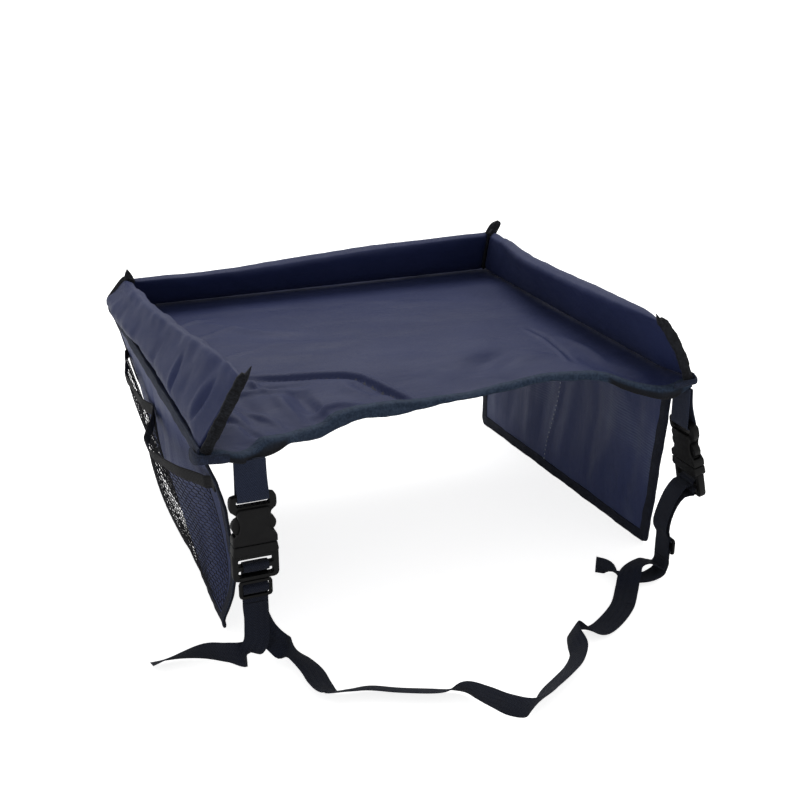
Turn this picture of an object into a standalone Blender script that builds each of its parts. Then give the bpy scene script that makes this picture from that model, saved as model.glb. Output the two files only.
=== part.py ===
# Car seat tray table: a cloth-covered board with three padded rim walls, two hanging
# side flaps with net pockets, and a webbing belt with two side-release buckles.
# The origin lies on the tray's underside, midway between the side seams. +Z is up,
# -Y points to the child and +X to the right. All lengths are in metres.
import math

import bmesh
import bpy
from mathutils import Matrix, Vector

# Tray panel
tray_width = 0.400
tray_front = -0.190
tray_back = 0.184
cover_cloth = 0.0008
board_thickness = 0.0028
clearance = 0.0003
front_cut_depth = 0.053
front_cut_share = 0.86
board_side_margin = 0.012
board_back_margin = 0.014
board_front = -0.056
board_corner = 0.014
loose_margin = 0.004
seam_dip = 0.0002
rim_reach = 0.034
loose_run = 0.034
front_droop = 0.0125

# Tapes
tape_cloth = 0.0008
front_tape_depth = 0.009
front_tape_gap = 0.0007
base_tape_height = 0.009

# Padded rim walls
wall_thickness = 0.0145
wall_lean_deg = 33.0
side_wall_front_slant = 0.058
corner_slant = 0.045
back_wall_slant = 0.042
wall_end_thickness = 0.0048
wall_end_shape_length = 0.030
end_tape_depth = 0.0045
end_tape_proud = 0.0012
corner_tape_thickness = 0.0014
corner_ear_height = 0.009
corner_tape_proud = 0.0016
core_end_gap = 0.004
wall_profile_points = 16
profile_squareness = 0.62

# Side flaps
flap_cloth = 0.0010
flap_hinge_gap = 0.0007
flap_hinge_inset = 0.0017
flap_drop = 0.1738
flap_top_front = -0.166
flap_bottom_front = -0.128
flap_top_rear = 0.180
flap_bottom_rear = 0.186
left_flap_front_lean = -0.016
left_flap_rear_lean = -0.046
right_flap_front_lean = 0.014
right_flap_rear_lean = 0.002
flap_billow = 0.006
flap_tape_width = 0.010
flap_tape_gap = 0.0005
flap_tape_start = 0.0045

# Net pockets
net_thickness = 0.0012
net_cells_long = 14
net_cells_deep = 8
net_strand_share = 0.26
net_bulge = 0.020
net_seam_offset = 0.0004
pocket_mouth_drop = 0.040
pocket_inset = 0.0035
elastic_height = 0.009
elastic_thickness = 0.0016

# Webbing
tab_width = 0.0230
tab_thickness = 0.0012
tab_spread = 0.0008
belt_width = 0.0190
belt_thickness = 0.0010
belt_layer_gap = 0.0004
belt_layer_pitch = 0.0017

# Side-release buckle, in its own frame: X across, Y through, Z up the strap
buckle_width = 0.0345
buckle_frame_half_thickness = 0.0030
buckle_body_half_thickness = 0.0052
socket_body_width = 0.0322
socket_bar_height = 0.0032
socket_slot_height = 0.0050
socket_frame_length = 0.0110
socket_length = 0.0380
cavity_width = 0.0256
cavity_thickness = 0.0066
cavity_top = 0.0128
window_top = 0.0165
window_bottom = 0.0312
slot_side_clearance = 0.0008
tongue_half_width = 0.0019
tongue_half_thickness = 0.0024
tongue_length = 0.0180
shoulder_length = 0.0070
shoulder_width = 0.0330
ladder_bar = 0.0032
ladder_slot = 0.0056
ladder_length = 0.0220
ladder_slot_width = 0.0262
arm_inner = 0.0066
arm_outer = 0.0094
arm_half_thickness = 0.0028
pad_reach = 0.0166
pad_fit = 0.0006
bevel_width = 0.0005

# Strap glide
glide_width = 0.0252
glide_half_thickness = 0.0011
glide_outer_bar = 0.0022
glide_slot = 0.0036
glide_centre_bar = 0.0028
glide_slot_width = 0.0200

# Where the strap chains hang. These places and the belt routes below are laid out by
# hand for a tray whose front right corner is at laid_out_corner.
laid_out_corner = (0.200, -0.190)
left_chain_place = (-0.1645, -0.1880, -0.0305)
right_chain_place = (0.2000, -0.1810, -0.0325)
right_tilt_deg = 12.6
left_glide_drop = 0.0770
right_glide_place = (0.1935, -0.1810, -0.1435)
loop_end_drop = 0.0120
loop_end_gap = 0.0005
lead_length = 0.0050

# Shares that shape outlines and grids
cover_steps = 12
tab_column_share = 0.94
droop_shares = (
    (-1.00, 0.0),
    (-0.94, 0.0),
    (-0.87, 0.50),
    (-0.76, 0.80),
    (-0.60, 1.0),
    (0.02, 1.0),
    (0.16, 0.65),
    (0.28, 0.10),
    (0.40, -0.30),
    (0.62, -0.34),
    (0.76, -0.10),
    (0.84, 0.0),
    (1.00, 0.0),
)
loose_row_shares = (0.32, 0.66, 1.0)
board_row_shares = (0.48, 1.0)
flap_row_shares = (0.0, 0.18, 0.38, 0.60, 0.80, 1.0)
flap_column_shares = (0.0, 0.10, 0.22, 0.36, 0.50, 0.64, 0.78, 0.90, 1.0)
side_wall_station_shares = (0.0, 0.34, 0.62, 1.0)
back_wall_station_shares = (0.0, 0.18, 0.5, 0.82, 1.0)
weave_shares = (
    (1.00, 0.785),
    (0.95, 0.405),
    (0.45, 0.155),
    (-0.45, -0.155),
    (-0.95, -0.405),
)

# Belt routes, laid by hand: centre point, then the direction across the webbing
belt_route = (
    ((-0.1635, -0.1822, -0.1340), (1.0, 0.1, 0.0)),
    ((-0.1585, -0.1822, -0.1470), (0.95, -0.1, -0.15)),
    ((-0.1500, -0.1840, -0.1580), (0.88, -0.25, -0.40)),
    ((-0.1420, -0.1880, -0.1660), (0.88, -0.1, -0.45)),
    ((-0.1355, -0.1975, -0.1690), (0.93, 0.1, -0.35)),
    ((-0.1315, -0.2120, -0.1705), (0.95, 0.1, -0.25)),
    ((-0.1310, -0.2290, -0.1705), (0.93, 0.15, -0.30)),
    ((-0.1285, -0.2430, -0.1695), (0.75, 0.5, -0.45)),
    ((-0.1150, -0.2480, -0.1685), (0.25, 0.8, -0.50)),
    ((-0.1000, -0.2510, -0.1685), (0.30, 0.85, -0.43)),
    ((-0.0810, -0.2600, -0.1695), (0.33, 0.85, -0.43)),
    ((-0.0565, -0.2710, -0.1695), (0.33, 0.83, -0.45)),
    ((-0.0450, -0.2750, -0.1685), (0.30, 0.7, -0.65)),
    ((-0.0360, -0.2830, -0.1655), (0.20, 0.35, -0.90)),
    ((-0.0270, -0.2970, -0.1652), (0.10, 0.15, -1.0)),
    ((-0.0190, -0.3100, -0.1652), (0.0, 0.1, -1.0)),
    ((-0.0070, -0.3180, -0.1655), (-0.10, 0.25, -0.95)),
    ((0.0060, -0.3110, -0.1670), (-0.30, 0.55, -0.75)),
    ((0.0200, -0.2990, -0.1685), (-0.42, 0.68, -0.60)),
    ((0.0370, -0.2880, -0.1690), (-0.44, 0.69, -0.57)),
    ((0.0510, -0.2785, -0.1685), (-0.50, 0.60, -0.60)),
    ((0.0620, -0.2660, -0.1670), (-0.60, 0.35, -0.75)),
    ((0.0660, -0.2520, -0.1658), (-0.45, 0.10, -0.90)),
    ((0.0710, -0.2415, -0.1655), (-0.30, 0.30, -0.90)),
    ((0.0800, -0.2400, -0.1680), (-0.10, 0.80, -0.60)),
    ((0.0930, -0.2410, -0.1720), (0.10, 0.98, -0.15)),
    ((0.1100, -0.2320, -0.1735), (-0.35, 0.93, 0.0)),
    ((0.1320, -0.2150, -0.1735), (-0.60, 0.80, 0.0)),
    ((0.1480, -0.1960, -0.1716), (-0.85, 0.50, 0.0)),
    ((0.1560, -0.1865, -0.1662), (-0.75, 0.60, -0.05)),
    ((0.1640, -0.1810, -0.1605), (-0.30, 0.90, -0.30)),
    ((0.1740, -0.1800, -0.1585), (0.0, 0.97, -0.22)),
    ((0.1822, -0.1804, -0.1618), (0.0, 0.99, -0.10)),
    ((0.1874, -0.1810, -0.1640), (0.0, 1.0, 0.0)),
)
left_tail_route = (
    ((-0.1650, -0.1858, -0.1390), (1.0, 0.0, 0.0)),
    ((-0.1665, -0.1862, -0.1530), (0.95, -0.2, 0.15)),
    ((-0.1735, -0.1820, -0.1640), (0.70, -0.3, 0.65)),
    ((-0.1850, -0.1725, -0.1658), (0.20, -0.3, 0.93)),
    ((-0.2000, -0.1640, -0.1660), (0.10, -0.4, 0.90)),
    ((-0.2190, -0.1600, -0.1680), (0.05, -0.7, 0.70)),
    ((-0.2400, -0.1600, -0.1700), (0.0, -0.9, 0.42)),
)
right_tail_route = (
    ((0.1886, -0.1816, -0.1688), (0.1, 0.97, -0.06)),
    ((0.1770, -0.1840, -0.1716), (0.15, 0.95, -0.08)),
    ((0.1660, -0.1800, -0.1726), (0.40, 0.90, -0.05)),
    ((0.1565, -0.1725, -0.1722), (0.45, 0.85, -0.10)),
    ((0.1480, -0.1660, -0.1665), (0.20, 0.40, -0.90)),
    ((0.1400, -0.1590, -0.1655), (0.10, 0.30, -0.95)),
)
right_near_sag = (
    (0.1893, -0.1810, -0.1290),
    (0.1905, -0.1810, -0.1180),
    (0.1950, -0.1810, -0.1065),
    (0.2020, -0.1810, -0.0990),
)
right_far_sag = (
    (0.2020, -0.1810, -0.0900),
    (0.1945, -0.1810, -0.0990),
    (0.1893, -0.1810, -0.1110),
    (0.1858, -0.1810, -0.1235),
    (0.1868, -0.1810, -0.1310),
)
route_steps = 3
wrap_shoulder_share = 0.62

# Values worked out from the sizes above
half_width = tray_width / 2
width_ratio = half_width / laid_out_corner[0]
front_shift = tray_front - laid_out_corner[1]
cover_half = half_width - tape_cloth - clearance
cover_front = tray_front + tape_cloth + clearance
cover_back = tray_back - tape_cloth - clearance
board_bottom = cover_cloth + clearance
board_top = board_bottom + board_thickness
tray_top = board_top + clearance + cover_cloth
loose_top = 2 * cover_cloth + clearance
wall_floor = tray_top + front_tape_gap + tape_cloth + clearance
wall_lean = math.radians(wall_lean_deg)
right_tilt = math.radians(right_tilt_deg)
flap_hinge_z = -flap_hinge_gap
flap_hinge_x = cover_half - flap_hinge_inset
shoulder_top = -(socket_length + clearance)
ladder_top = shoulder_top - shoulder_length
ladder_bottom = ladder_top - ladder_length
lower_bar_z = ladder_bottom + ladder_bar / 2
middle_bar_z = lower_bar_z + ladder_bar + ladder_slot
upper_slot_z = middle_bar_z + (ladder_bar + ladder_slot) / 2
lower_slot_z = middle_bar_z - (ladder_bar + ladder_slot) / 2
glide_height = 2 * glide_outer_bar + 2 * glide_slot + glide_centre_bar
glide_slot_z = (glide_centre_bar + glide_slot) / 2
glide_depth = glide_half_thickness + clearance + belt_thickness / 2
bar_depth = buckle_frame_half_thickness + clearance + belt_thickness / 2


def drawn_place(place):
    """A place of the hand-made layout, moved with the tray's front corners."""
    return Vector((place[0] * width_ratio, place[1] + front_shift, place[2]))


left_chain = drawn_place(left_chain_place)
right_chain = drawn_place(right_chain_place)
right_glide = drawn_place(right_glide_place)


def clear_scene():
    """Remove every object, so that the script can run again in one session."""
    for item in list(bpy.data.objects):
        bpy.data.objects.remove(item, do_unlink=True)


def make_material(name, colour, roughness, metallic=0.0):
    """Make one Principled material."""
    material = bpy.data.materials.new(name)
    material.use_nodes = True
    shader = material.node_tree.nodes["Principled BSDF"]
    shader.inputs["Base Color"].default_value = (*colour, 1.0)
    shader.inputs["Roughness"].default_value = roughness
    shader.inputs["Metallic"].default_value = metallic
    return material


def add_mesh(name, points, faces, material, parent=None):
    """Make one closed mesh object from points and faces, faces turned outwards."""
    mesh = bpy.data.meshes.new(name)
    mesh.from_pydata([tuple(point) for point in points], [], faces)
    shape = bmesh.new()
    shape.from_mesh(mesh)
    bmesh.ops.recalc_face_normals(shape, faces=shape.faces)
    shape.to_mesh(mesh)
    shape.free()
    mesh.materials.append(material)
    item = bpy.data.objects.new(name, mesh)
    bpy.context.scene.collection.objects.link(item)
    if parent:
        item.parent = parent
    return item


def set_origin(item, place):
    """Put an unparented object's origin at a place without moving its shape."""
    item.data.transform(Matrix.Translation(-Vector(place)))
    item.location = place


def loft(name, rings, material, parent=None):
    """Skin a row of rings, with a flat cap at each end."""
    count = len(rings[0])
    points = [point for ring in rings for point in ring]
    faces = []
    for row in range(len(rings) - 1):
        for step in range(count):
            following = (step + 1) % count
            low = row * count
            high = low + count
            faces.append((low + step, low + following, high + following, high + step))
    faces.append(tuple(reversed(range(count))))
    last = (len(rings) - 1) * count
    faces.append(tuple(range(last, last + count)))
    return add_mesh(name, points, faces, material, parent)


def sleeve(name, outer, inner, material):
    """Skin an open tube between an outer and an inner row of rings."""
    count = len(outer[0])
    points = [point for ring in outer + inner for point in ring]
    shift = len(outer) * count
    faces = []
    for row in range(len(outer) - 1):
        for step in range(count):
            following = (step + 1) % count
            low = row * count
            high = low + count
            faces.append((low + step, low + following, high + following, high + step))
            faces.append((
                shift + low + step,
                shift + high + step,
                shift + high + following,
                shift + low + following,
            ))
    for row in (0, len(outer) - 1):
        for step in range(count):
            following = (step + 1) % count
            low = row * count
            faces.append((
                low + step,
                low + following,
                shift + low + following,
                shift + low + step,
            ))
    return add_mesh(name, points, faces, material)


def sheet(name, upper, lower, material):
    """Close two matching grids of points into one thin sheet."""
    rows = len(upper)
    columns = len(upper[0])
    points = [point for row in upper for point in row]
    points += [point for row in lower for point in row]
    shift = rows * columns
    faces = []
    for row in range(rows - 1):
        for column in range(columns - 1):
            corner = row * columns + column
            across = corner + columns + 1
            for half in ((corner, corner + 1, across), (corner, across, corner + columns)):
                faces.append(half)
                faces.append(tuple(shift + index for index in reversed(half)))
    border = [column for column in range(columns)]
    border += [row * columns + columns - 1 for row in range(1, rows)]
    border += [(rows - 1) * columns + column for column in range(columns - 2, -1, -1)]
    border += [row * columns for row in range(rows - 2, 0, -1)]
    for index, corner in enumerate(border):
        following = border[(index + 1) % len(border)]
        faces.append((corner, shift + corner, shift + following, following))
    return add_mesh(name, points, faces, material)


def net(name, front, back, material):
    """Close two matching grids into one net with a gap in every cell."""
    rows = len(front)
    columns = len(front[0])
    points = []
    faces = []
    for side in (front, back):
        points += [point for row in side for point in row]
    shift = rows * columns
    for row in range(rows - 1):
        for column in range(columns - 1):
            corner = row * columns + column
            quad = (corner, corner + 1, corner + columns + 1, corner + columns)
            rims = []
            for base in (0, shift):
                middle = sum((points[base + index] for index in quad), Vector()) / len(quad)
                start = len(points)
                points += [points[base + index].lerp(middle, net_strand_share) for index in quad]
                rims.append(tuple(range(start, start + len(quad))))
            for edge in range(len(quad)):
                following = (edge + 1) % len(quad)
                faces.append((quad[edge], quad[following], rims[0][following], rims[0][edge]))
                faces.append((
                    shift + quad[following],
                    shift + quad[edge],
                    rims[1][edge],
                    rims[1][following],
                ))
                faces.append((
                    rims[0][edge],
                    rims[0][following],
                    rims[1][following],
                    rims[1][edge],
                ))
    border = [column for column in range(columns)]
    border += [row * columns + columns - 1 for row in range(1, rows)]
    border += [(rows - 1) * columns + column for column in range(columns - 2, -1, -1)]
    border += [row * columns for row in range(rows - 2, 0, -1)]
    for index, corner in enumerate(border):
        following = border[(index + 1) % len(border)]
        faces.append((corner, shift + corner, shift + following, following))
    return add_mesh(name, points, faces, material)


def smooth_step(value):
    """Ease from 0 to 1."""
    held = min(max(value, 0.0), 1.0)
    return held * held * (3 - 2 * held)


def blend_value(low, high, share):
    """Mix two numbers."""
    return low + (high - low) * share


def front_edge(x):
    """Y of the cover's concave front edge at a given X."""
    reach = abs(x) / (cover_half * front_cut_share)
    return cover_front + front_cut_depth * max(1 - reach * reach, 0.0)


def share_between(table, place):
    """Read a table of shares at a place between two of its rows."""
    for (low, first), (high, second) in zip(table[:-1], table[1:]):
        if place <= high:
            return blend_value(first, second, (place - low) / (high - low))
    return table[-1][1]


def looseness(y):
    """How far the covers have closed up in front of the board, as a share."""
    return smooth_step((board_front - loose_margin - y) / loose_run)


def droop(x, y):
    """How far the unsupported cloth hangs below the board at a point, as a share."""
    start = board_front - loose_margin
    ahead = smooth_step((start - y) / (start - front_edge(x)))
    return ahead * share_between(droop_shares, x / cover_half)


def cover_heights(x, y):
    """Heights of the four cloth surfaces at a point, from the underside up."""
    low = -front_droop * droop(x, y)
    high = low + blend_value(tray_top, loose_top, looseness(y))
    if abs(x) >= cover_half or y <= front_edge(x):
        low += seam_dip
    beside = abs(x) > abs(left_chain.x) or y >= cover_back
    if beside and y > board_front:
        high -= seam_dip
    return low, low + cover_cloth, high - cover_cloth, high


def cover_columns():
    """X places of the cover grid, with a column at each edge of the strap tabs."""
    inner = abs(left_chain.x) - tab_width / 2
    outer = abs(left_chain.x) + tab_width / 2
    edge = cover_half * tab_column_share
    places = [inner * (2 * step / cover_steps - 1) for step in range(cover_steps + 1)]
    return [-cover_half, -edge, -outer] + places + [outer, edge, cover_half]


def cover_rows(x):
    """Y places of the cover grid in one column."""
    front = front_edge(x)
    inner = front + front_tape_depth
    rows = [front, inner]
    start = board_front - loose_margin
    rows += [blend_value(inner, start, share) for share in loose_row_shares]
    floor_back = cover_back - rim_reach
    rows += [blend_value(start, floor_back, share) for share in board_row_shares]
    rows.append(cover_back)
    return rows


def cover_grid(level):
    """One surface of the covers as a grid of points."""
    return [
        [Vector((x, y, cover_heights(x, y)[level])) for y in cover_rows(x)]
        for x in cover_columns()
    ]


def make_tray_panel(finishes):
    """Board, covers and the tape along the front edge."""
    sheet("bottom_cover", cover_grid(1), cover_grid(0), finishes["navy"])
    sheet("top_cover", cover_grid(3), cover_grid(2), finishes["navy"])
    side = cover_half - board_side_margin
    back = cover_back - board_back_margin
    nose = side - board_corner
    shoulder = board_front + board_corner
    outline = [
        (-side, back),
        (-side, shoulder),
        (-nose, board_front),
        (nose, board_front),
        (side, shoulder),
        (side, back),
    ]
    rings = [[Vector((x, y, z)) for x, y in outline] for z in (board_bottom, board_top)]
    loft("base_board", rings, finishes["board"])
    rings = []
    for x in cover_columns():
        front, inner = cover_rows(x)[:2]
        end = inner - clearance
        ring = []
        low_front, _, _, top_front = cover_heights(x, front)
        low_end, _, _, top_end = cover_heights(x, inner)
        outer = front - clearance - tape_cloth
        wall = front - clearance
        shell = front_tape_gap + tape_cloth
        ring.append(Vector((x, outer, low_front - shell)))
        ring.append(Vector((x, end, low_end - shell)))
        ring.append(Vector((x, end, low_end - front_tape_gap)))
        ring.append(Vector((x, wall, low_front - front_tape_gap)))
        ring.append(Vector((x, wall, top_front + front_tape_gap)))
        ring.append(Vector((x, end, top_end + front_tape_gap)))
        ring.append(Vector((x, end, top_end + shell)))
        ring.append(Vector((x, outer, top_front + shell)))
        rings.append(ring)
    loft("front_edge_binding", rings, finishes["tape_blue"])


def raw_profile(half, half_slant, middle, top_extra):
    """Rounded section of a wall, leaning inwards from a corner at zero."""
    lean_in = Vector((math.sin(wall_lean), math.cos(wall_lean)))
    lean_out = Vector((math.cos(wall_lean), -math.sin(wall_lean)))
    ring = []
    for step in range(wall_profile_points):
        angle = 2 * math.pi * (step + 0.5) / wall_profile_points
        across = math.copysign(abs(math.cos(angle)) ** profile_squareness, math.cos(angle))
        along = math.copysign(abs(math.sin(angle)) ** profile_squareness, math.sin(angle))
        rise = half_slant * along + top_extra * max(along, 0.0)
        ring.append(lean_in * (middle + rise) + lean_out * half * across)
    return ring


def wall_profile(thickness, slant, inset=0.0, top_extra=0.0, side_extra=0.0):
    """Inward distance and height of a wall's section, stood on the covers at the seam."""
    full = raw_profile(thickness / 2, slant / 2, slant / 2, 0.0)
    shift = Vector((-min(point.x for point in full), wall_floor - min(p.y for p in full)))
    half = thickness / 2 - inset + side_extra
    ring = raw_profile(half, slant / 2 - inset, slant / 2, top_extra)
    return [point + shift for point in ring]


def trimmed_profile(thickness, slant, top_extra, side_extra):
    """A section that stands proud of the wall but not past the seam or the floor."""
    ring = []
    for point in wall_profile(thickness, slant, 0.0, top_extra, side_extra):
        held = Vector((max(point.x, 0.0), max(point.y, wall_floor)))
        if not ring or (held - ring[-1]).length > clearance:
            ring.append(held)
    return ring


def side_wall_slant(y):
    """Slant height of a side wall, falling from front to back."""
    share = (y - tray_front) / (tray_back - tray_front)
    return blend_value(side_wall_front_slant, corner_slant, min(share, 1.0))


def side_wall_thickness(y, start):
    """Thickness of a side wall, drawn in flat at its sewn front end."""
    share = smooth_step((y - start) / wall_end_shape_length)
    return blend_value(wall_end_thickness, wall_thickness, share)


def mitre_gap():
    """Inward distance that the corner tape takes on each side of the mitre."""
    return (corner_tape_thickness / 2 + clearance) * math.sqrt(2)


def side_wall_rings(hand, inset, end_inset):
    """Rings of one side wall from front to mitre."""
    start = tray_front + end_tape_depth + clearance
    begin = start + end_inset
    mitre_room = corner_slant + wall_thickness
    finish = cover_back - mitre_room
    places = [begin]
    if not end_inset:
        places.append(start + wall_end_shape_length / 2)
    places.append(start + wall_end_shape_length)
    first = start + wall_end_shape_length
    places += [blend_value(first, finish, share) for share in side_wall_station_shares[1:]]
    rings = []
    for y in places:
        profile = wall_profile(side_wall_thickness(y, start), side_wall_slant(y), inset)
        rings.append([Vector((hand * (cover_half - u), y, z)) for u, z in profile])
    profile = wall_profile(wall_thickness, corner_slant, inset)
    shift = mitre_gap() + end_inset
    rings.append([Vector((hand * (cover_half - u), cover_back - u - shift, z)) for u, z in profile])
    return rings


def back_wall_rings(inset, end_inset):
    """Rings of the back wall from mitre to mitre."""
    shift = mitre_gap() + end_inset
    inner = cover_half - corner_slant - wall_thickness
    profile = wall_profile(wall_thickness, corner_slant, inset)
    rings = [[Vector((u + shift - cover_half, cover_back - u, z)) for u, z in profile]]
    for share in back_wall_station_shares:
        x = blend_value(-inner, inner, share)
        dip = math.sin(math.pi * share)
        slant = blend_value(corner_slant, back_wall_slant, dip)
        rings.append([
            Vector((x, cover_back - u, z)) for u, z in wall_profile(wall_thickness, slant, inset)
        ])
    rings.append([Vector((cover_half - u - shift, cover_back - u, z)) for u, z in profile])
    return rings


def make_walls(finishes):
    """Three padded rim walls: cloth sleeves, foam cores, seams and corner tapes."""
    core_inset = cover_cloth + clearance
    shape_inset = wall_end_shape_length / 2
    for side, hand in (("left", -1), ("right", 1)):
        outer = side_wall_rings(hand, 0.0, 0.0)
        inner = side_wall_rings(hand, cover_cloth, 0.0)
        sleeve(f"{side}_wall_cover", outer, inner, finishes["navy"])
        core = side_wall_rings(hand, core_inset, core_end_gap)
        core = core[1:] if len(core) > len(outer) else core
        core[0] = [point + Vector((0, shape_inset, 0)) for point in core_start(hand, core_inset)]
        loft(f"{side}_wall_core", core, finishes["foam"])
        rings = []
        for y in (tray_front, tray_front + end_tape_depth):
            profile = trimmed_profile(
                wall_end_thickness, side_wall_front_slant, end_tape_proud, end_tape_proud
            )
            rings.append([Vector((hand * (cover_half - u), y, z)) for u, z in profile])
        loft(f"{side}_wall_end_binding", rings, finishes["tape_black"])
        across = Vector((hand, -1, 0)).normalized() * corner_tape_thickness / 2
        profile = trimmed_profile(
            wall_thickness, corner_slant, corner_ear_height, corner_tape_proud
        )
        rings = []
        for turn in (-1, 1):
            ring = []
            for u, z in profile:
                place = Vector((hand * (cover_half - u), cover_back - u, z))
                ring.append(place + across * turn)
            rings.append(ring)
        loft(f"back_{side}_corner_binding", rings, finishes["tape_black"])
    sleeve(
        "back_wall_cover",
        back_wall_rings(0.0, 0.0),
        back_wall_rings(cover_cloth, 0.0),
        finishes["navy"],
    )
    loft("back_wall_core", back_wall_rings(core_inset, core_end_gap), finishes["foam"])


def core_start(hand, inset):
    """First ring of a side wall's foam, where the sleeve is still drawn in."""
    start = tray_front + end_tape_depth + clearance
    y = start + wall_end_shape_length / 2
    profile = wall_profile(side_wall_thickness(y, start), side_wall_slant(y), inset)
    return [Vector((hand * (cover_half - u), start, z)) for u, z in profile]


def make_base_tapes(finishes):
    """Tape strips over the seams along the sides and the back."""
    inner = half_width - tape_cloth
    for side, hand in (("left", -1), ("right", 1)):
        rings = [
            [
                Vector((hand * inner, y, 0.0)),
                Vector((hand * half_width, y, 0.0)),
                Vector((hand * half_width, y, base_tape_height)),
                Vector((hand * inner, y, base_tape_height)),
            ]
            for y in (tray_front, tray_back)
        ]
        loft(f"{side}_base_binding", rings, finishes["tape_blue"])
    reach = inner - clearance
    rings = [
        [
            Vector((x, tray_back - tape_cloth, 0.0)),
            Vector((x, tray_back, 0.0)),
            Vector((x, tray_back, base_tape_height)),
            Vector((x, tray_back - tape_cloth, base_tape_height)),
        ]
        for x in (-reach, reach)
    ]
    loft("back_base_binding", rings, finishes["tape_blue"])


def flap_place(hand, lean, down, back):
    """A point of a flap's middle surface; down and back are shares of its sides."""
    front = blend_value(flap_top_front, flap_bottom_front, down)
    rear = blend_value(flap_top_rear, flap_bottom_rear, down)
    y = blend_value(front, rear, back)
    x = hand * (flap_hinge_x + blend_value(*lean, back) * down)
    return Vector((x, y, flap_hinge_z - flap_drop * down))


def flap_normal(hand, lean, back):
    """Outward direction of a flap at a place along its length."""
    slope = blend_value(*lean, back) / flap_drop
    return Vector((hand, 0.0, slope)).normalized()


def band_shares():
    """Shares of a flap's height and length that its edge tape covers."""
    down = flap_tape_width / flap_drop
    back = flap_tape_width / (flap_top_rear - flap_top_front)
    return down, back


def flap_shares():
    """Row and column shares of a flap's grid, with lines where the tape ends."""
    down, back = band_shares()
    rows = [share * (1 - down) for share in flap_row_shares] + [1.0]
    columns = [0.0]
    columns += [blend_value(back, 1 - back, share) for share in flap_column_shares]
    columns.append(1.0)
    return rows, columns


def billow(down, back):
    """How far the free cloth swells, as a share that is zero under the tape."""
    band_down, band_back = band_shares()
    low = min(max(down / (1 - band_down), 0.0), 1.0)
    along = min(max((back - band_back) / (1 - 2 * band_back), 0.0), 1.0)
    return math.sin(math.pi * low) ** 2 * math.sin(math.pi * along) ** 2


def flap_surface(hand, lean, down, back, offset):
    """A point at a distance outside the flap's middle surface."""
    swell = flap_billow * billow(down, back)
    return flap_place(hand, lean, down, back) + flap_normal(hand, lean, back) * (swell + offset)


def make_flap(side, hand, lean, finishes):
    """One hanging flap with its edge tape, net pocket and elastic."""
    rows, columns = flap_shares()
    half = flap_cloth / 2
    pivot = Vector((hand * flap_hinge_x, 0.0, flap_hinge_z))
    faces = [
        [[flap_surface(hand, lean, row, column, turn * half) for column in columns] for row in rows]
        for turn in (1, -1)
    ]
    panel = sheet(f"{side}_flap_panel", faces[0], faces[1], finishes["navy"])
    set_origin(panel, pivot)

    begin = flap_tape_start / flap_drop
    tape_rows = [begin] + rows[1:-2]
    stations = [(row, 0.0, row, columns[1]) for row in tape_rows]
    stations.append((rows[-2], 0.0, rows[-2], columns[1]))
    stations.append((1.0, 0.0, rows[-2], columns[1]))
    stations += [(1.0, column, rows[-2], column) for column in columns[1:-1]]
    stations.append((1.0, 1.0, rows[-2], columns[-2]))
    stations.append((rows[-2], 1.0, rows[-2], columns[-2]))
    stations += [(row, 1.0, row, columns[-2]) for row in reversed(tape_rows)]
    kept = [stations[0]]
    for station in stations[1:]:
        same_inner = station[2:] == kept[-1][2:]
        if not same_inner:
            kept.append(station)
        elif station[:2] in ((1.0, 0.0), (1.0, 1.0)):
            kept[-1] = station
    rings = []
    wall = half + flap_tape_gap
    for down, back, inner_down, inner_back in kept:
        edge = flap_place(hand, lean, down, back)
        inner = flap_place(hand, lean, inner_down, inner_back)
        outwards = edge - inner
        reach = outwards.normalized()
        normal = flap_normal(hand, lean, back)
        lip = edge + reach * (clearance + tape_cloth)
        inner_lip = edge + reach * clearance
        rings.append([
            lip + normal * (wall + tape_cloth),
            inner + normal * (wall + tape_cloth),
            inner + normal * wall,
            inner_lip + normal * wall,
            inner_lip - normal * wall,
            inner - normal * wall,
            inner - normal * (wall + tape_cloth),
            lip - normal * (wall + tape_cloth),
        ])
    tape = loft(f"{side}_flap_binding", rings, finishes["tape_black"])
    set_origin(tape, pivot)
    make_pocket(side, hand, lean, pivot, finishes)


def pocket_offset(down, back):
    """Distance of the net's inner face outside the flap's free cloth, and its swell."""
    seat = flap_cloth / 2 + net_seam_offset
    opening = 1 - down
    swell = net_bulge * math.sin(math.pi * back) ** 0.8 * opening ** 0.7
    return seat + swell


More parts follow.
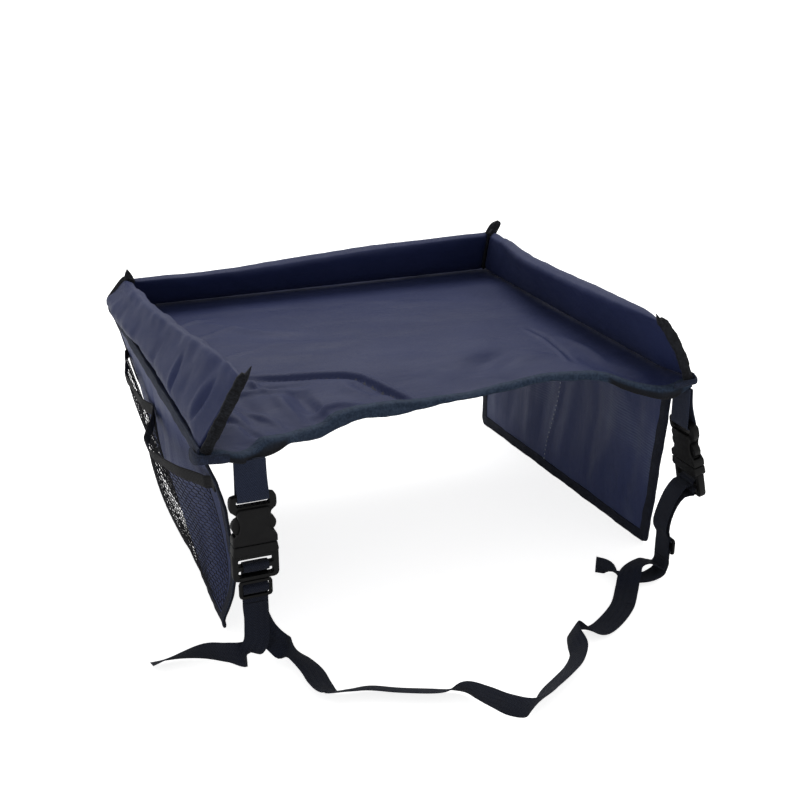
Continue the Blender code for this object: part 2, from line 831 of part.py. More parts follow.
def make_pocket(side, hand, lean, pivot, finishes):
    """The net pocket on a flap's outer side and the elastic at its mouth."""
    band_down, band_back = band_shares()
    length = flap_top_rear - flap_top_front
    mouth = pocket_mouth_drop / flap_drop
    inset_down = pocket_inset / flap_drop
    inset_back = pocket_inset / length
    low = 1 - band_down - inset_down
    near = band_back + inset_back
    far = 1 - near

    def net_point(share_down, share_back, offset):
        down = blend_value(mouth, low, share_down)
        back = blend_value(near, far, share_back)
        distance = pocket_offset(share_down, share_back) + offset
        return flap_surface(hand, lean, down, back, distance)

    grids = []
    for offset in (net_thickness, 0.0):
        grids.append([
            [
                net_point(row / net_cells_deep, column / net_cells_long, offset)
                for column in range(net_cells_long + 1)
            ]
            for row in range(net_cells_deep + 1)
        ])
    mesh = net(f"{side}_pocket_net", grids[0], grids[1], finishes["net"])
    set_origin(mesh, pivot)

    rings = []
    for column in range(net_cells_long + 1):
        share = column / net_cells_long
        back = blend_value(near, far, share)
        inner = pocket_offset(0.0, share)
        outer = inner + elastic_thickness
        foot = mouth - clearance / flap_drop
        head = foot - elastic_height / flap_drop
        rings.append([
            flap_surface(hand, lean, foot, back, inner),
            flap_surface(hand, lean, foot, back, outer),
            flap_surface(hand, lean, head, back, outer),
            flap_surface(hand, lean, head, back, inner),
        ])
    band = loft(f"{side}_pocket_elastic", rings, finishes["elastic"])
    set_origin(band, pivot)


def catmull_rom(points, steps):
    """Smooth curve through points, as positions in order."""
    ends = [points[0] * 2 - points[1], points[-1] * 2 - points[-2]]
    held = [ends[0], *points, ends[1]]
    curve = []
    for index in range(1, len(held) - 2):
        before, start, end, after = held[index - 1:index + 3]
        for step in range(steps):
            share = step / steps
            square = share * share
            cube = square * share
            curve.append((
                start * 2
                + (end - before) * share
                + (before * 2 - start * 5 + end * 4 - after) * square
                + (start * 3 - before - end * 3 + after) * cube
            ) / 2)
    curve.append(points[-1])
    return curve


def webbing(name, centres, widths, width, thickness, material):
    """Sweep a flat webbing section along centres, with the width direction given."""
    rings = []
    last = len(centres) - 1
    for index, centre in enumerate(centres):
        along = (centres[min(index + 1, last)] - centres[max(index - 1, 0)]).normalized()
        across = widths[index] - along * widths[index].dot(along)
        across.normalize()
        normal = along.cross(across) * thickness / 2
        side = across * width / 2
        rings.append([
            centre + side + normal,
            centre - side + normal,
            centre - side - normal,
            centre + side - normal,
        ])
    return loft(name, rings, material)


def free_webbing(name, route, start, finish, material):
    """A free stretch of belt laid along a route chosen by hand, from its held ends."""
    centres = [drawn_place(place) for place, _ in route]
    widths = [Vector(across).normalized() for _, across in route]
    if start:
        centres = start[0] + centres
        widths = [start[1]] * len(start[0]) + widths
    if finish:
        centres += list(reversed(finish[0]))
        widths += [finish[1]] * len(finish[0])
    centres = catmull_rom(centres, route_steps)
    widths = catmull_rom(widths, route_steps)
    return webbing(name, centres, widths, belt_width, belt_thickness, material)


def strap_lead(glide, depth):
    """Two points of webbing hanging straight below a glide, and its width direction."""
    top = -(loop_end_drop + loop_end_gap)
    points = loop_points([(depth, top), (depth, top - lead_length)], glide)
    return points, (glide.to_3x3() @ Vector((1, 0, 0))).normalized()


def box_cutter(name, low, high, parent):
    """A box that only cuts, so it is hidden from renders."""
    points = [
        Vector((x, y, z)) for x in (low[0], high[0]) for y in (low[1], high[1])
        for z in (low[2], high[2])
    ]
    faces = [(0, 1, 3, 2), (4, 6, 7, 5), (0, 4, 5, 1), (2, 3, 7, 6), (0, 2, 6, 4), (1, 5, 7, 3)]
    cutter = add_mesh(name, points, faces, bpy.data.materials["cutter"], parent)
    cutter.hide_render = True
    cutter.display_type = "WIRE"
    return cutter


def cut(item, cutter):
    """Subtract one cutter from an object."""
    modifier = item.modifiers.new(cutter.name, "BOOLEAN")
    modifier.operation = "DIFFERENCE"
    modifier.solver = "EXACT"
    modifier.object = cutter


def round_edges(item, width):
    """Ease an object's sharp edges."""
    modifier = item.modifiers.new("eased edges", "BEVEL")
    modifier.width = width
    modifier.segments = 1
    modifier.limit_method = "ANGLE"


def stepped_block(name, steps, material, parent):
    """A block whose width and thickness change at each step down."""
    rings = []
    for z, half_across, half_through in steps:
        rings.append([
            Vector((-half_across, -half_through, z)),
            Vector((half_across, -half_through, z)),
            Vector((half_across, half_through, z)),
            Vector((-half_across, half_through, z)),
        ])
    return loft(name, rings, material, parent)


def make_frame(name, place, turn):
    """An empty that carries one buckle's or glide's pieces."""
    frame = bpy.data.objects.new(name, None)
    frame.location = place
    frame.rotation_euler = turn
    bpy.context.scene.collection.objects.link(frame)
    return frame


def make_buckle(side, place, turn, arm_labels, finishes):
    """A side-release buckle hanging in its own frame from the socket's top."""
    frame = make_frame(f"{side}_buckle_frame", place, turn)
    overrun = buckle_body_half_thickness
    plastic = finishes["plastic"]
    frame_half = buckle_width / 2
    body_half = socket_body_width / 2
    socket = stepped_block(
        f"{side}_buckle_socket",
        [
            (0.0, frame_half, buckle_frame_half_thickness),
            (-socket_frame_length, frame_half, buckle_frame_half_thickness),
            (-socket_frame_length, body_half, buckle_body_half_thickness),
            (-socket_length, body_half, buckle_body_half_thickness),
        ],
        plastic,
        frame,
    )
    round_edges(socket, bevel_width)
    slot_half = tab_width / 2 + slot_side_clearance
    slot_bottom = -(socket_bar_height + socket_slot_height)
    cut(socket, box_cutter(
        f"{side}_tab_slot_cutter",
        (-slot_half, -overrun - buckle_frame_half_thickness, slot_bottom),
        (slot_half, overrun + buckle_frame_half_thickness, -socket_bar_height),
        frame,
    ))
    cut(socket, box_cutter(
        f"{side}_cavity_cutter",
        (-cavity_width / 2, -cavity_thickness / 2, -socket_length - overrun),
        (cavity_width / 2, cavity_thickness / 2, -cavity_top),
        frame,
    ))
    cut(socket, box_cutter(
        f"{side}_window_cutter",
        (-buckle_width, -cavity_thickness / 2, -window_bottom),
        (buckle_width, cavity_thickness / 2, -window_top),
        frame,
    ))
    plug = stepped_block(
        f"{side}_buckle_plug",
        [
            (shoulder_top + tongue_length, tongue_half_width, tongue_half_thickness),
            (shoulder_top, tongue_half_width, tongue_half_thickness),
            (shoulder_top, shoulder_width / 2, buckle_body_half_thickness),
            (ladder_top, shoulder_width / 2, buckle_body_half_thickness),
            (ladder_top, buckle_width / 2, buckle_frame_half_thickness),
            (ladder_bottom, buckle_width / 2, buckle_frame_half_thickness),
        ],
        plastic,
        frame,
    )
    round_edges(plug, bevel_width)
    for label, middle in (("upper", upper_slot_z), ("lower", lower_slot_z)):
        cut(plug, box_cutter(
            f"{side}_{label}_slot_cutter",
            (-ladder_slot_width / 2, -overrun, middle - ladder_slot / 2),
            (ladder_slot_width / 2, overrun, middle + ladder_slot / 2),
            frame,
        ))
    for label, hand in zip(arm_labels, (1, -1)):
        make_arm(f"{side}_{label}_release_arm", hand, frame, plastic)
    return frame


def make_arm(name, hand, frame, material):
    """One springy release arm with its finger pad in the socket's side window."""
    root = shoulder_top + clearance
    pad_low = -window_bottom + pad_fit
    pad_high = -window_top - pad_fit
    pad_middle = (pad_low + pad_high) / 2
    shaft = arm_outer - arm_inner
    outline = [
        (arm_inner, root),
        (arm_outer, root),
        (arm_outer, pad_low),
        (pad_reach - shaft / 4, pad_low),
        (pad_reach, pad_middle),
        (pad_reach - shaft, pad_high),
        (arm_inner, pad_high),
    ]
    pivot = Vector((hand * (arm_inner + shaft / 2), 0.0, root))
    rings = [
        [Vector((hand * x, y, z)) - pivot for x, z in outline]
        for y in (-arm_half_thickness, arm_half_thickness)
    ]
    arm = loft(name, rings, material, frame)
    arm.location = pivot
    return arm


def make_glide(side, place, turn, finishes):
    """A flat three-bar strap glide."""
    frame = make_frame(f"{side}_glide_frame", place, turn)
    half = glide_height / 2
    glide = stepped_block(
        f"{side}_strap_glide",
        [
            (half, glide_width / 2, glide_half_thickness),
            (-half, glide_width / 2, glide_half_thickness),
        ],
        finishes["plastic"],
        frame,
    )
    round_edges(glide, bevel_width)
    for label, middle in (("upper", glide_slot_z), ("lower", -glide_slot_z)):
        cut(glide, box_cutter(
            f"{side}_glide_{label}_cutter",
            (-glide_slot_width / 2, -glide_width, middle - glide_slot / 2),
            (glide_slot_width / 2, glide_width, middle + glide_slot / 2),
            frame,
        ))
    return frame


def weave_through(slot_middle, slot, depth, rising):
    """Through-and-height points of webbing that passes a slot from back to front."""
    turn = 1 if rising else -1
    points = [(depth * across, slot_middle - turn * slot * along) for across, along in weave_shares]
    return points


def buckle_wrap():
    """Webbing round the plug's middle bar, from behind the lower bar to the back."""
    near = bar_depth
    over = middle_bar_z + ladder_bar / 2 + clearance * 2 + belt_thickness / 2
    bar = ladder_bar / 2
    wrap = [(near, lower_bar_z - bar), (near, lower_bar_z)]
    wrap += weave_through(lower_slot_z, ladder_slot, near, True)[1:]
    wrap += [
        (-near, middle_bar_z),
        (-near, middle_bar_z + bar),
        (-near * wrap_shoulder_share, over),
        (0.0, over),
        (near * wrap_shoulder_share, over),
        (near, middle_bar_z + bar),
        (near + belt_layer_gap, middle_bar_z),
    ]
    return wrap


def glide_weave():
    """Webbing behind the outer bars and in front of the centre bar, from below up."""
    depth = glide_depth
    half = glide_height / 2
    points = [(depth, -half)]
    points += weave_through(-glide_slot_z, glide_slot, depth, True)
    points.append((-depth, 0.0))
    upper = weave_through(glide_slot_z, glide_slot, depth, False)
    points += list(reversed(upper))
    points.append((depth, half))
    return points


def loop_points(through, place):
    """Place through-and-height points in a frame as world points."""
    return [place @ Vector((0.0, across, height)) for across, height in through]


def make_belt_loop(side, buckle, glide, near_sag, far_sag, finishes):
    """The webbing over the plug's bar and down through the glide, both layers."""
    outer = glide_depth + belt_layer_pitch
    half = glide_height / 2
    points = loop_points([(glide_depth, -loop_end_drop)], glide)
    points += loop_points(glide_weave(), glide)
    points += near_sag
    points += loop_points(buckle_wrap(), buckle)
    points += far_sag
    points += loop_points(
        [(outer, half), (outer, 0.0), (outer, -half), (outer, -loop_end_drop)], glide
    )
    across = (buckle.to_3x3() @ Vector((1, 0, 0))).normalized()
    return webbing(
        f"{side}_belt_loop",
        points,
        [across] * len(points),
        belt_width,
        belt_thickness,
        finishes["webbing"],
    )


def binding_low(x):
    """Lowest height of the front tape at a given X near the front corner."""
    columns = cover_columns()
    for low, high in zip(columns[:-1], columns[1:]):
        if low <= x <= high:
            share = (x - low) / (high - low)
            heights = [
                min(cover_heights(place, y)[0] for y in cover_rows(place)[:2])
                for place in (low, high)
            ]
            return blend_value(*heights, share) - front_tape_gap - tape_cloth
    return -front_tape_gap - tape_cloth


def make_tab(side, buckle, top_middle, finishes):
    """The webbing tab sewn under the tray corner, looped through the socket's bar."""
    across = (buckle.to_3x3() @ Vector((1, 0, 0))).normalized()
    through = (buckle.to_3x3() @ Vector((0, 1, 0))).normalized()
    level = Vector((through.x, through.y, 0)).normalized()
    near = buckle_frame_half_thickness + clearance + tab_thickness / 2
    under = -(socket_bar_height + clearance * 2 + tab_thickness / 2)
    loop = [
        (-near, 0.0),
        (-near, -socket_bar_height),
        (-near * 0.62, under),
        (0.0, under),
        (near * 0.62, under),
        (near, -socket_bar_height),
        (near, 0.0),
    ]
    points = loop_points(loop, buckle)
    width = tab_width
    rings_x = [top_middle.x - width / 2 * abs(across.x), top_middle.x + width / 2 * abs(across.x)]
    top = min(binding_low(x) for x in rings_x) - clearance
    spread = tab_thickness / 2 + tab_spread / 2
    lead = [Vector((top_middle.x, top_middle.y, top)) - level * spread]
    tail = [Vector((top_middle.x, top_middle.y, top)) + level * spread]
    joined = (top + points[0].z) / 2
    lead.append(Vector((*blend_place(lead[0], points[0]), joined)))
    tail.insert(0, Vector((*blend_place(tail[-1], points[-1]), joined)))
    points = lead + points + tail
    return webbing(
        f"{side}_webbing_tab",
        points,
        [across] * len(points),
        tab_width,
        tab_thickness,
        finishes["webbing"],
    )


def blend_place(first, second):
    """Plan position a little below the sewn end of a tab."""
    share = 0.25
    return (
        blend_value(first.x, second.x, share),
        blend_value(first.y, second.y, share),
    )


def make_straps(finishes):
    """Both chains of tab, buckle, loop and glide, and the belt between them."""
    left_turn = (0.0, 0.0, 0.0)
    quarter = math.pi / 2
    right_turn = (-right_tilt, 0.0, quarter)
    left_frame = make_buckle("left", left_chain, left_turn, ("inner", "outer"), finishes)
    right_frame = make_buckle("right", right_chain, right_turn, ("rear", "front"), finishes)
    left_glide_place = left_chain + Vector((0.0, bar_depth - glide_depth, -left_glide_drop))
    left_glide = make_glide("left", left_glide_place, left_turn, finishes)
    right_glide_frame = make_glide("right", right_glide, (0.0, 0.0, quarter), finishes)
    bpy.context.view_layer.update()
    frames = {
        "left": (left_frame.matrix_world.copy(), left_glide.matrix_world.copy()),
        "right": (right_frame.matrix_world.copy(), right_glide_frame.matrix_world.copy()),
    }
    far = bar_depth + belt_layer_pitch
    left_far = loop_points([(far, lower_slot_z), (far, ladder_bottom)], frames["left"][0])
    near_sag = [drawn_place(place) for place in right_near_sag]
    far_sag = [drawn_place(place) for place in right_far_sag]
    make_belt_loop("left", *frames["left"], [], left_far, finishes)
    make_belt_loop("right", *frames["right"], near_sag, far_sag, finishes)
    make_tab("left", frames["left"][0], left_chain, finishes)
    right_top = Vector((cover_half - tab_thickness - tab_spread, right_chain.y, 0.0))
    make_tab("right", frames["right"][0], right_top, finishes)
    outer = glide_depth + belt_layer_pitch
    leads = {
        side: (strap_lead(pair[1], outer), strap_lead(pair[1], glide_depth))
        for side, pair in frames.items()
    }
    material = finishes["webbing"]
    free_webbing("belt_webbing", belt_route, leads["left"][0], leads["right"][0], material)
    free_webbing("left_belt_tail", left_tail_route, leads["left"][1], None, material)
    free_webbing("right_belt_tail", right_tail_route, leads["right"][1], None, material)


def main():
    """Build the whole tray table."""
    clear_scene()
    make_material("cutter", (0.5, 0.5, 0.5), 0.5)
    finishes = {
        "navy": make_material("navy_cloth", (0.030, 0.040, 0.085), 0.75),
        "board": make_material("board_plastic", (0.55, 0.55, 0.55), 0.5),
        "foam": make_material("foam", (0.80, 0.78, 0.70), 0.9),
        "tape_blue": make_material("blue_tape", (0.028, 0.055, 0.105), 0.8),
        "tape_black": make_material("black_tape", (0.010, 0.012, 0.020), 0.85),
        "net": make_material("pocket_net", (0.55, 0.55, 0.55), 0.7),
        "elastic": make_material("black_elastic", (0.008, 0.008, 0.010), 0.8),
        "webbing": make_material("navy_webbing", (0.018, 0.026, 0.060), 0.8),
        "plastic": make_material("black_plastic", (0.012, 0.012, 0.012), 0.35),
    }
    make_tray_panel(finishes)
    make_walls(finishes)
    make_base_tapes(finishes)
    make_flap("left", -1, (left_flap_front_lean, left_flap_rear_lean), finishes)
    make_flap("right", 1, (right_flap_front_lean, right_flap_rear_lean), finishes)
    make_straps(finishes)


main()
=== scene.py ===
"""Dress the car seat tray table for rendering.

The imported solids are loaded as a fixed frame. Each sub-assembly below is a class that
holds its sizes, builds its meshes in the same frame and lets them ride on a body.
All lengths are in metres, but the longer tables are written in millimetres.
"""
from __future__ import annotations

import logging
import math
from dataclasses import dataclass, field
from enum import Enum
from typing import Callable, Sequence

import bpy
import numpy as np
from mathutils import Matrix, Vector


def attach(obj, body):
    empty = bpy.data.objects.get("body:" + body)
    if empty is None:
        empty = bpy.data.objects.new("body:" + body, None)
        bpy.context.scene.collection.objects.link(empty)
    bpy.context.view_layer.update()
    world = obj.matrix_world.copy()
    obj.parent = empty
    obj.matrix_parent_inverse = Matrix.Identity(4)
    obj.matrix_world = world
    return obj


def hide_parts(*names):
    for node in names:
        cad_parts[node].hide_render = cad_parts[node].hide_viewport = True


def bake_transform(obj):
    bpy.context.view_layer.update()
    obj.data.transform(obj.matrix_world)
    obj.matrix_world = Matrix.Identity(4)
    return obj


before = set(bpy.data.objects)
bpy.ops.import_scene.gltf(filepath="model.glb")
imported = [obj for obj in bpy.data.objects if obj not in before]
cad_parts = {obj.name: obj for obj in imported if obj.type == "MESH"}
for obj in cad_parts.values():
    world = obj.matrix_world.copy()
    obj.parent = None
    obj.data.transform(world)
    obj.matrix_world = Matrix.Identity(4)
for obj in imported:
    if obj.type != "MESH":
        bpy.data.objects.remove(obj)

LOG = logging.getLogger("tray_table")
Item = bpy.types.Object
Material = bpy.types.Material
Pair = tuple[float, float]
Place = tuple[float, float, float]
Colour = tuple[float, float, float]
Table = Sequence[Pair]
Fold = tuple[Table, float, float]
Rings = list[list[Vector]]
Surface = Callable[[float, float], Vector]


class Side(Enum):
    """The tray's two sides, as seen by the child."""

    LEFT = -1
    RIGHT = 1

    @property
    def word(self) -> str:
        """The side's name as it stands in piece names."""
        return self.name.lower()


# ---- shapes of numbers


def smooth_step(value: float) -> float:
    """Ease a number from 0 to 1, held at both ends."""
    value = min(max(value, 0.0), 1.0)
    return value * value * (3 - 2 * value)


def metres(rows: object) -> object:
    """Turn a number or nested rows of numbers from millimetres into metres."""
    return tuple(metres(row) for row in rows) if isinstance(rows, tuple) else rows * 0.001


def mix(first: float, second: float, share: float) -> float:
    """Blend two numbers."""
    return first + (second - first) * share


def hump(distance: float, width: float) -> float:
    """A bell that is 1 at zero distance and fades over a width."""
    return math.exp(-((distance / width) ** 2))


def read_table(table: Table, place: float) -> float:
    """Read a table smoothly between its rows.

    Args:
        table: Rows of place and value, in rising order of place.
        place: Where to read it.

    Returns:
        The eased value, held at the table's two ends.
    """
    if place <= table[0][0]:
        return table[0][1]
    for index in range(len(table) - 1):
        low, first = table[index]
        high, second = table[index + 1]
        if place <= high:
            before = table[max(index - 1, 0)]
            after = table[min(index + 2, len(table) - 1)]
            span = high - low
            share = (place - low) / span
            rise = (second - before[1]) / max(high - before[0], 1e-9) * span
            fall = (after[1] - first) / max(after[0] - low, 1e-9) * span
            square = share * share
            cube = square * share
            return (
                (2 * cube - 3 * square + 1) * first
                + (cube - 2 * square + share) * rise
                + (3 * square - 2 * cube) * second
                + (cube - square) * fall
            )
    return table[-1][1]


def line_distance(point: Pair, path: Table) -> Pair:
    """Measure from a point to a path in a plane.

    Args:
        point: The place measured from.
        path: The corners of the path.

    Returns:
        The signed distance, positive to the left of the path, and how far along it the
        nearest place is, as a share of its length.
    """
    best = (1e9, 0.0)
    lengths = [math.dist(a, b) for a, b in zip(path[:-1], path[1:])]
    total = sum(lengths)
    walked = 0.0
    for (a, b), length in zip(zip(path[:-1], path[1:]), lengths):
        run = ((b[0] - a[0]) / length, (b[1] - a[1]) / length)
        offset = (point[0] - a[0], point[1] - a[1])
        along = min(max(offset[0] * run[0] + offset[1] * run[1], 0.0), length)
        near = (a[0] + run[0] * along, a[1] + run[1] * along)
        distance = math.dist(point, near)
        if distance < abs(best[0]):
            side = run[0] * offset[1] - run[1] * offset[0]
            best = (math.copysign(distance, side), (walked + along) / total)
        walked += length
    return best


def fold(point: Pair, path: Table, height: float, width: float) -> float:
    """Height of a fold in cloth that runs along a path and fades at its ends."""
    distance, share = line_distance(point, path)
    return height * hump(distance, width) * math.sin(math.pi * min(max(share, 0.0), 1.0)) ** 0.7


def round_square(angle: float, power: float) -> Pair:
    """A point of a rounded square, the squarer the lower the power; a circle at one."""
    across, along = math.cos(angle), math.sin(angle)
    return math.copysign(abs(across) ** power, across), math.copysign(abs(along) ** power, along)


def oval(middle: Vector, wide: Vector, deep: Vector, count: int, power: float = 1.0) -> list[Vector]:
    """Points round an oval with the given half widths."""
    shares = (round_square(2 * math.pi * turn / count, power) for turn in range(count))
    return [middle + wide * across + deep * along for across, along in shares]


def wander(value: float, seed: float) -> float:
    """A slow, uneven wave between about -1 and 1, the same at every run."""
    return (
        math.sin(value + seed * 1.7)
        + 0.6 * math.sin(value * 2.31 + seed * 3.1)
        + 0.35 * math.sin(value * 4.73 + seed * 5.3)
    ) / 1.95


def catmull_rom(points: Sequence[Vector], steps: int) -> list[Vector]:
    """Run a smooth curve through points.

    Args:
        points: The places that the curve passes.
        steps: How many stretches lie between two of them.

    Returns:
        The curve's positions in order.
    """
    held = [points[0] * 2 - points[1], *points, points[-1] * 2 - points[-2]]
    curve = []
    for index in range(1, len(held) - 2):
        before, start, end, after = held[index - 1:index + 3]
        for step in range(steps):
            share = step / steps
            square = share * share
            cube = square * share
            curve.append((
                start * 2
                + (end - before) * share
                + (before * 2 - start * 5 + end * 4 - after) * square
                + (start * 3 - before - end * 3 + after) * cube
            ) / 2)
    curve.append(points[-1].copy())
    return curve


# ---- shader building


def joined(operation: str) -> Callable[[Socket, object], Socket]:
    """An arithmetic operator of two travelling values, made with a Math node."""
    return lambda self, other: self.math(operation, other)


class Socket:
    """A number or colour that travels between shader nodes."""

    __add__, __sub__, __mul__ = joined("ADD"), joined("SUBTRACT"), joined("MULTIPLY")
    __truediv__, __pow__, __mod__ = joined("DIVIDE"), joined("POWER"), joined("FLOORED_MODULO")

    def __init__(self, paint: Paint, socket: bpy.types.NodeSocket) -> None:
        """Wrap one output of a node."""
        self.paint = paint
        self.socket = socket

    def math(self, operation: str, other: object = 0.0) -> Socket:
        """Join this value and another with a Math node."""
        return self.paint.node("ShaderNodeMath", {0: self, 1: other}, operation=operation)

    def sine(self) -> Socket:
        """Take the sine."""
        return self.math("SINE")

    def wave(self, pitch: float) -> Socket:
        """A wave between 0 and 1 that comes round once a pitch."""
        return (self * (2 * math.pi / pitch)).sine() * 0.5 + 0.5

    def size(self) -> Socket:
        """Drop the sign."""
        return self.math("ABSOLUTE")

    def ease(self, low: float, high: float, first: float = 0.0, last: float = 1.0) -> Socket:
        """Ease from one value to another between two limits.

        Args:
            low: Where the change starts.
            high: Where it ends.
            first: The value up to the start.
            last: The value past the end.

        Returns:
            The eased value.
        """
        limits = {"Value": self, "From Min": low, "From Max": high, "To Min": first, "To Max": last}
        return self.paint.node("ShaderNodeMapRange", limits, interpolation_type="SMOOTHSTEP")


class Paint:
    """One material and the nodes that feed its shader."""

    def __init__(self, name: str) -> None:
        """Start an empty material with a Principled shader."""
        self.material = bpy.data.materials.new(name)
        self.material.use_nodes = True
        self.tree = self.material.node_tree
        self.shader = self.tree.nodes["Principled BSDF"]

    def node(self, kind: str, inputs: dict | None = None, output: int | str = 0, **settings: object) -> Socket:
        """Add a node.

        Args:
            kind: The node's type name.
            inputs: Values or sockets by input name or number.
            output: The output that is wanted.
            **settings: Properties of the node.

        Returns:
            The wrapped output.
        """
        made = self.tree.nodes.new(kind)
        for name, value in settings.items():
            setattr(made, name, value)
        for name, value in (inputs or {}).items():
            if isinstance(value, Socket):
                self.tree.links.new(value.socket, made.inputs[name])
            else:
                made.inputs[name].default_value = value
        return Socket(self, made.outputs[output])

    def place(self) -> Socket:
        """Position on the piece, in metres."""
        return self.node("ShaderNodeTexCoord", output="Object")

    def split(self, vector: Socket) -> list[Socket]:
        """Take a vector's three parts."""
        parts = self.node("ShaderNodeSeparateXYZ", {0: vector})
        return [Socket(self, output) for output in parts.socket.node.outputs]

    def cloth_map(self) -> list[Socket]:
        """Metres across and along the cloth, from the piece's own UV map."""
        return self.split(self.node("ShaderNodeUVMap", uv_map="cloth"))[:2]

    def noise(self, vector: Socket, scale: float, detail: float = 3.0, rough: float = 0.55) -> Socket:
        """A soft random value about 0.5."""
        return self.node(
            "ShaderNodeTexNoise", {"Vector": vector, "Scale": scale, "Detail": detail, "Roughness": rough}
        )

    def blend(self, share: object, first: Socket | Colour, second: Socket | Colour) -> Socket:
        """Blend two colours by a share."""
        first, second = (given if isinstance(given, Socket) else (*given, 1.0) for given in (first, second))
        return self.node("ShaderNodeMix", {"Factor": share, 6: first, 7: second}, output=2, data_type="RGBA")

    def bump(self, height: Socket, depth: float, under: Socket | None = None, strength: float = 1.0) -> Socket:
        """Turn a height into a surface normal."""
        inputs = {"Height": height, "Distance": depth, "Strength": strength}
        if under:
            inputs["Normal"] = under
        return self.node("ShaderNodeBump", inputs, output="Normal")

    def done(self, **values: object) -> Material:
        """Feed the shader's inputs and hand over the material.

        Args:
            **values: Values or sockets by input name, with underscores for spaces.

        Returns:
            The finished material.
        """
        for name, value in values.items():
            target = self.shader.inputs[name.replace("_", " ")]
            if isinstance(value, Socket):
                self.tree.links.new(value.socket, target)
            else:
                target.default_value = (*value, 1.0) if target.type == "RGBA" else value
        return self.material


def scaled(colour: Colour, factor: float) -> Colour:
    """A lighter or darker colour."""
    return tuple(part * factor for part in colour)


# ---- finishes


@dataclass(frozen=True)
class LiningCloth:
    """Smooth coated polyester: fine weave, soft creases and a faint bluish sheen."""

    name: str
    colour: Colour
    deep: Colour
    crease_depth: float = 0.0012
    crease_size: float = 30.0
    stretch: Colour = (1.0, 1.0, 1.0)
    net_press_and_glow: float = 0.0
    thread: float = 0.0007
    roughness: float = 0.5

    def make(self) -> Material:
        """Build the material."""
        paint = Paint(self.name)
        place = paint.place()
        parts = {number: part * factor for number, (part, factor) in enumerate(zip(paint.split(place), self.stretch))}
        broad = paint.noise(paint.node("ShaderNodeCombineXYZ", parts), self.crease_size, 4.0, 0.5)
        base = paint.blend(paint.noise(place, 9.0, 2.0).ease(0.3, 0.7), self.deep, self.colour)
        across, along = paint.cloth_map()
        turn = 2 * math.pi / self.thread
        weave = (across * turn).sine() * (along * turn).sine()
        speck = paint.noise(place, 1400.0, 2.0, 0.7)
        base = paint.blend(speck.ease(0.35, 0.75) * 0.22, base, scaled(self.colour, 1.6))
        normal = paint.bump(weave + speck * 0.8, self.thread * 0.1, paint.bump(broad, self.crease_depth), 0.6)
        if self.net_press_and_glow:
            pitch = 2 * math.pi / 0.0036
            cells = (across * pitch).sine() * (along * pitch * 0.62).sine()
            shown = (cells.size() * -1.0 + 1.0) ** 3.0 * paint.noise(place, 11.0, 2.0).ease(0.5, 0.68)
            # Painted light: the pale grid over the net's cells stands for light coming through the cloth; the bump
            # below presses the cells in.
            base = paint.blend(shown * self.net_press_and_glow, base, (0.16, 0.19, 0.3))
            normal = paint.bump(shown, 0.0003, normal, 0.8)
        return paint.done(
            Base_Color=base, Normal=normal,
            Roughness=broad.ease(0.3, 0.7, self.roughness - 0.05, self.roughness + 0.07),
            Sheen_Weight=0.07, Sheen_Roughness=0.45, Sheen_Tint=(0.55, 0.62, 0.95), Specular_IOR_Level=0.24,
        )


@dataclass(frozen=True)
class WovenTape:
    """Ribbed tape with worn, lighter threads and lines of stitches along it."""

    name: str
    colour: Colour
    worn: Colour
    shadowed: Colour
    width: float
    rib: float = 0.0012
    stitch_places: Sequence[float] = ()
    stitch_colour: Colour = (0.03, 0.05, 0.09)

    def make(self) -> Material:
        """Build the material."""
        paint = Paint(self.name)
        place = paint.place()
        across, along = paint.cloth_map()
        fuzz = paint.noise(place, 560.0, 3.0, 0.75)
        wear = paint.noise(place, 140.0, 4.0, 0.65)
        ribs = along.wave(self.rib)
        base = paint.blend((fuzz * 0.9 + wear * 0.5).ease(0.56, 0.9), self.colour, self.worn)
        # Painted shade: the tape is darker in the troughs between its ribs.
        base = paint.blend(ribs.ease(0.0, 0.5, 0.35, 0.0), base, scaled(self.colour, 0.45))
        height = ribs * 0.6 + fuzz * 0.8
        for share in self.stitch_places:
            dash = ((along / 0.0028) % 1.0).ease(0.62, 0.72, 1.0, 0.0)
            mark = (across - self.width * share).size().ease(0.0002, 0.0007, 1.0, 0.0) * dash
            base = paint.blend(mark * 0.8, base, self.stitch_colour)
            height = height + mark * 1.5
        shade = paint.node("ShaderNodeAttribute", output="Fac", attribute_name="shade")
        return paint.done(
            Base_Color=paint.blend(shade, base, self.shadowed), Roughness=0.8, Normal=paint.bump(height, 0.00025),
            Sheen_Weight=0.04, Sheen_Roughness=0.6, Specular_IOR_Level=0.2,
        )


@dataclass(frozen=True)
class HerringboneWebbing:
    """Flat woven strap with a herringbone of slanted ribs in four columns."""

    name: str
    colour: Colour
    thread: Colour
    width: float

    def make(self) -> Material:
        """Build the material."""
        paint = Paint(self.name)
        place = paint.place()
        across, along = paint.cloth_map()
        column = self.width / 4
        inside = ((across / column) % 1.0 - 0.5).size() * 2.0
        ribs = (along + inside * column * 0.9).wave(0.0022)
        strands = across.wave(0.0009)
        fuzz = paint.noise(place, 1100.0, 3.0, 0.7)
        base = paint.blend((ribs * 0.7 + fuzz * 0.8 + strands * 0.2).ease(0.75, 1.35), self.colour, self.thread)
        base = paint.blend(paint.noise(place, 60.0, 2.0).ease(0.4, 0.75) * 0.3, base, scaled(self.colour, 0.5))
        return paint.done(
            Base_Color=base, Roughness=0.72, Normal=paint.bump(ribs + strands * 0.3 + fuzz * 0.5, 0.00035),
            Sheen_Weight=0.05, Sheen_Roughness=0.5, Specular_IOR_Level=0.2,
        )


